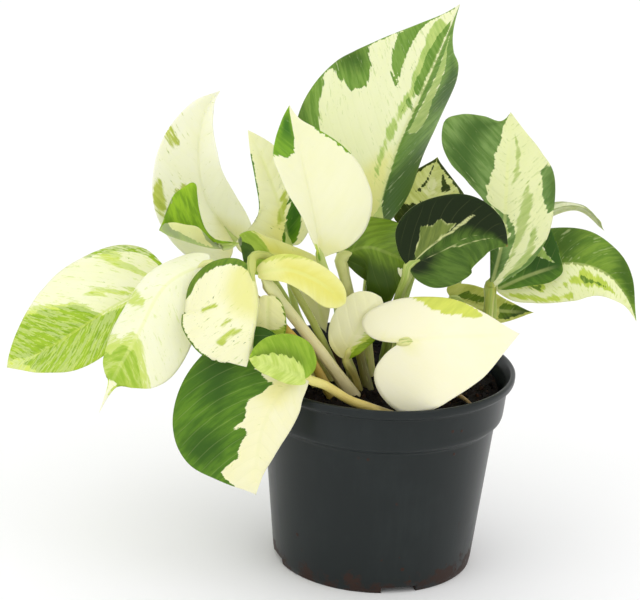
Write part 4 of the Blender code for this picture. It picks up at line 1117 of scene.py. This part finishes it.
def crumbTree():
    sizes = {"Each square metre": 1000.0, "Smallest": 0.5, "Largest": 2.0}
    board, given = growerBoard("crumbs", "Bed", "Crumbs", sizes, {"Seed": 1})
    seed, smallest, largest = (given.other(name) for name in ("Seed", "Smallest", "Largest"))
    spots = board.node("GeometryNodeDistributePointsOnFaces", {"distribute_method": "RANDOM"},
                       {"Mesh": given, "Density": given.other("Each square metre"), "Seed": seed})
    crumb = board.shape("MeshIcoSphere", Radius=0.5 * mm, Subdivisions=1)
    rough = board.node("ShaderNodeTexNoise", (),
                       {"Vector": board.shape("InputPosition"), "Scale": 1900.0, "Detail": 2.0}, out="Color")
    push = board.stretch(board.vectors("SUBTRACT", rough, (0.5, 0.5, 0.5)), (0.8 * mm, 0.8 * mm, 0.8 * mm))
    crumb = board.shape("SetPosition", Geometry=crumb, Offset=push)

    def draw(kind, low, high, extra, out=0):  # a random value for each crumb
        first = 0 if kind == "FLOAT_VECTOR" else 2
        inputs = {first: low, first + 1: high, "Seed": seed + extra}
        return board.node("FunctionNodeRandomValue", {"data_type": kind}, inputs, out)

    turn = draw("FLOAT_VECTOR", (0, 0, 0), (6.28, 6.28, 6.28), 1)
    size = smallest + (largest - smallest) * draw("FLOAT", 0.0, 1.0, 2, out=1) ** 3
    squash = draw("FLOAT_VECTOR", (0.7, 0.4, 0.4), (1.5, 1.0, 0.9), 3)
    scale = board.node("ShaderNodeVectorMath", {"operation": "SCALE"}, {0: squash, "Scale": size})
    crumbs = board.shape("InstanceOnPoints", Points=spots, Instance=crumb, Rotation=turn, Scale=scale)
    return finishGrower(board, crumbs, given)


def bedFaces(source, keep):  # the faces of a mesh whose middle passes the test
    bm = bmesh.new()
    bm.from_mesh(source)
    bm.normal_update()
    gone = [face for face in bm.faces if not keep(face.calc_center_median() / mm, face.normal)]
    bmesh.ops.delete(bm, geom=gone, context="FACES")
    return makeMesh("bed", bm)


bed = soilMesh()
bed.data.materials.append(soilSkin("peatBed", crumbPlans["peatCrumbs"]["look"]))
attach(bed, "root")
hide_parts("soil")
crumbNodes = crumbTree()
top = bedFaces(bed.data, lambda middle, normal: (
    middle.z > 78 and normal.z > 0.3 and middle.xy.length < soilBuild["strewn"]))
for name, plan in crumbPlans.items():
    piece = grow(name, top, crumbNodes, {
        "Skin": soilSkin(f"{name}Skin", plan["look"]), "Each square metre": soilBuild["crumbs"] * plan["share"],
        "Smallest": plan["smallest"], "Largest": plan["largest"], "Seed": soilBuild["seed"] + len(name),
    })
    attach(piece, "root")
print("the soil is filled and strewn")


# Floor, light and camera

studio = dict(  # m, W and radians
    floor=3.0, floorPaint=(0.96, 0.96, 0.96, 1.0), sky=1.05, skyPaint=(1.0, 1.0, 1.0, 1.0),
    aim=(0, 0, 0.12),
    lamps=[((-0.9, -1.0, 1.5), 1.0, 3.0), ((0.9, -0.7, 1.3), 1.0, 1.5)],  # place, size and watts
)
view = dict(place=(0, -0.985, 0.447), pitch=0.32, yaw=-0.0296, roll=0.0477, sensor=36.0, focal=131.0625)

bm = bmesh.new()
bmesh.ops.create_grid(bm, x_segments=2, y_segments=2, size=studio["floor"])
floor = addObject("studioFloor", makeMesh("studioFloor", bm))
floorSkin, board, _ = skinBoard("paleFloor")
board.finish({"Base Color": studio["floorPaint"], "Roughness": 0.85})
floor.data.materials.append(floorSkin)

world = bpy.data.worlds.new("studio")
world.use_nodes = True
sky = world.node_tree.nodes["Background"].inputs
sky["Color"].default_value = studio["skyPaint"]
sky["Strength"].default_value = studio["sky"]
scene.world = world
for number, (place, size, watts) in enumerate(studio["lamps"]):
    light = bpy.data.lights.new(f"softLamp{number + 1}", "AREA")
    light.shape = "DISK"
    light.size = size
    light.energy = watts
    lamp = addObject(light.name, light)
    lamp.location = place
    lamp.rotation_euler = (Vector(studio["aim"]) - lamp.location).to_track_quat("-Z", "Y").to_euler()

across, down = (math.cos(view["pitch"]), math.sin(view["pitch"]))
ahead = Vector((math.sin(view["yaw"]) * across, math.cos(view["yaw"]) * across, -down))
level = Vector((math.cos(view["yaw"]), -math.sin(view["yaw"]), 0))
rise = level.cross(ahead)
side = level * math.cos(view["roll"]) + rise * math.sin(view["roll"])
rise = rise * math.cos(view["roll"]) - level * math.sin(view["roll"])
lens = bpy.data.cameras.new("camera")
lens.sensor_width = view["sensor"]
lens.sensor_fit = "HORIZONTAL"
lens.lens = view["focal"]
lens.clip_start = 0.01
camera = addObject("camera", lens)
camera.matrix_world = Matrix.Translation(view["place"]) @ Matrix((side, rise, -ahead)).transposed().to_4x4()
scene.camera = camera
scene.view_settings.view_transform = "Standard"
print("the studio is lit")
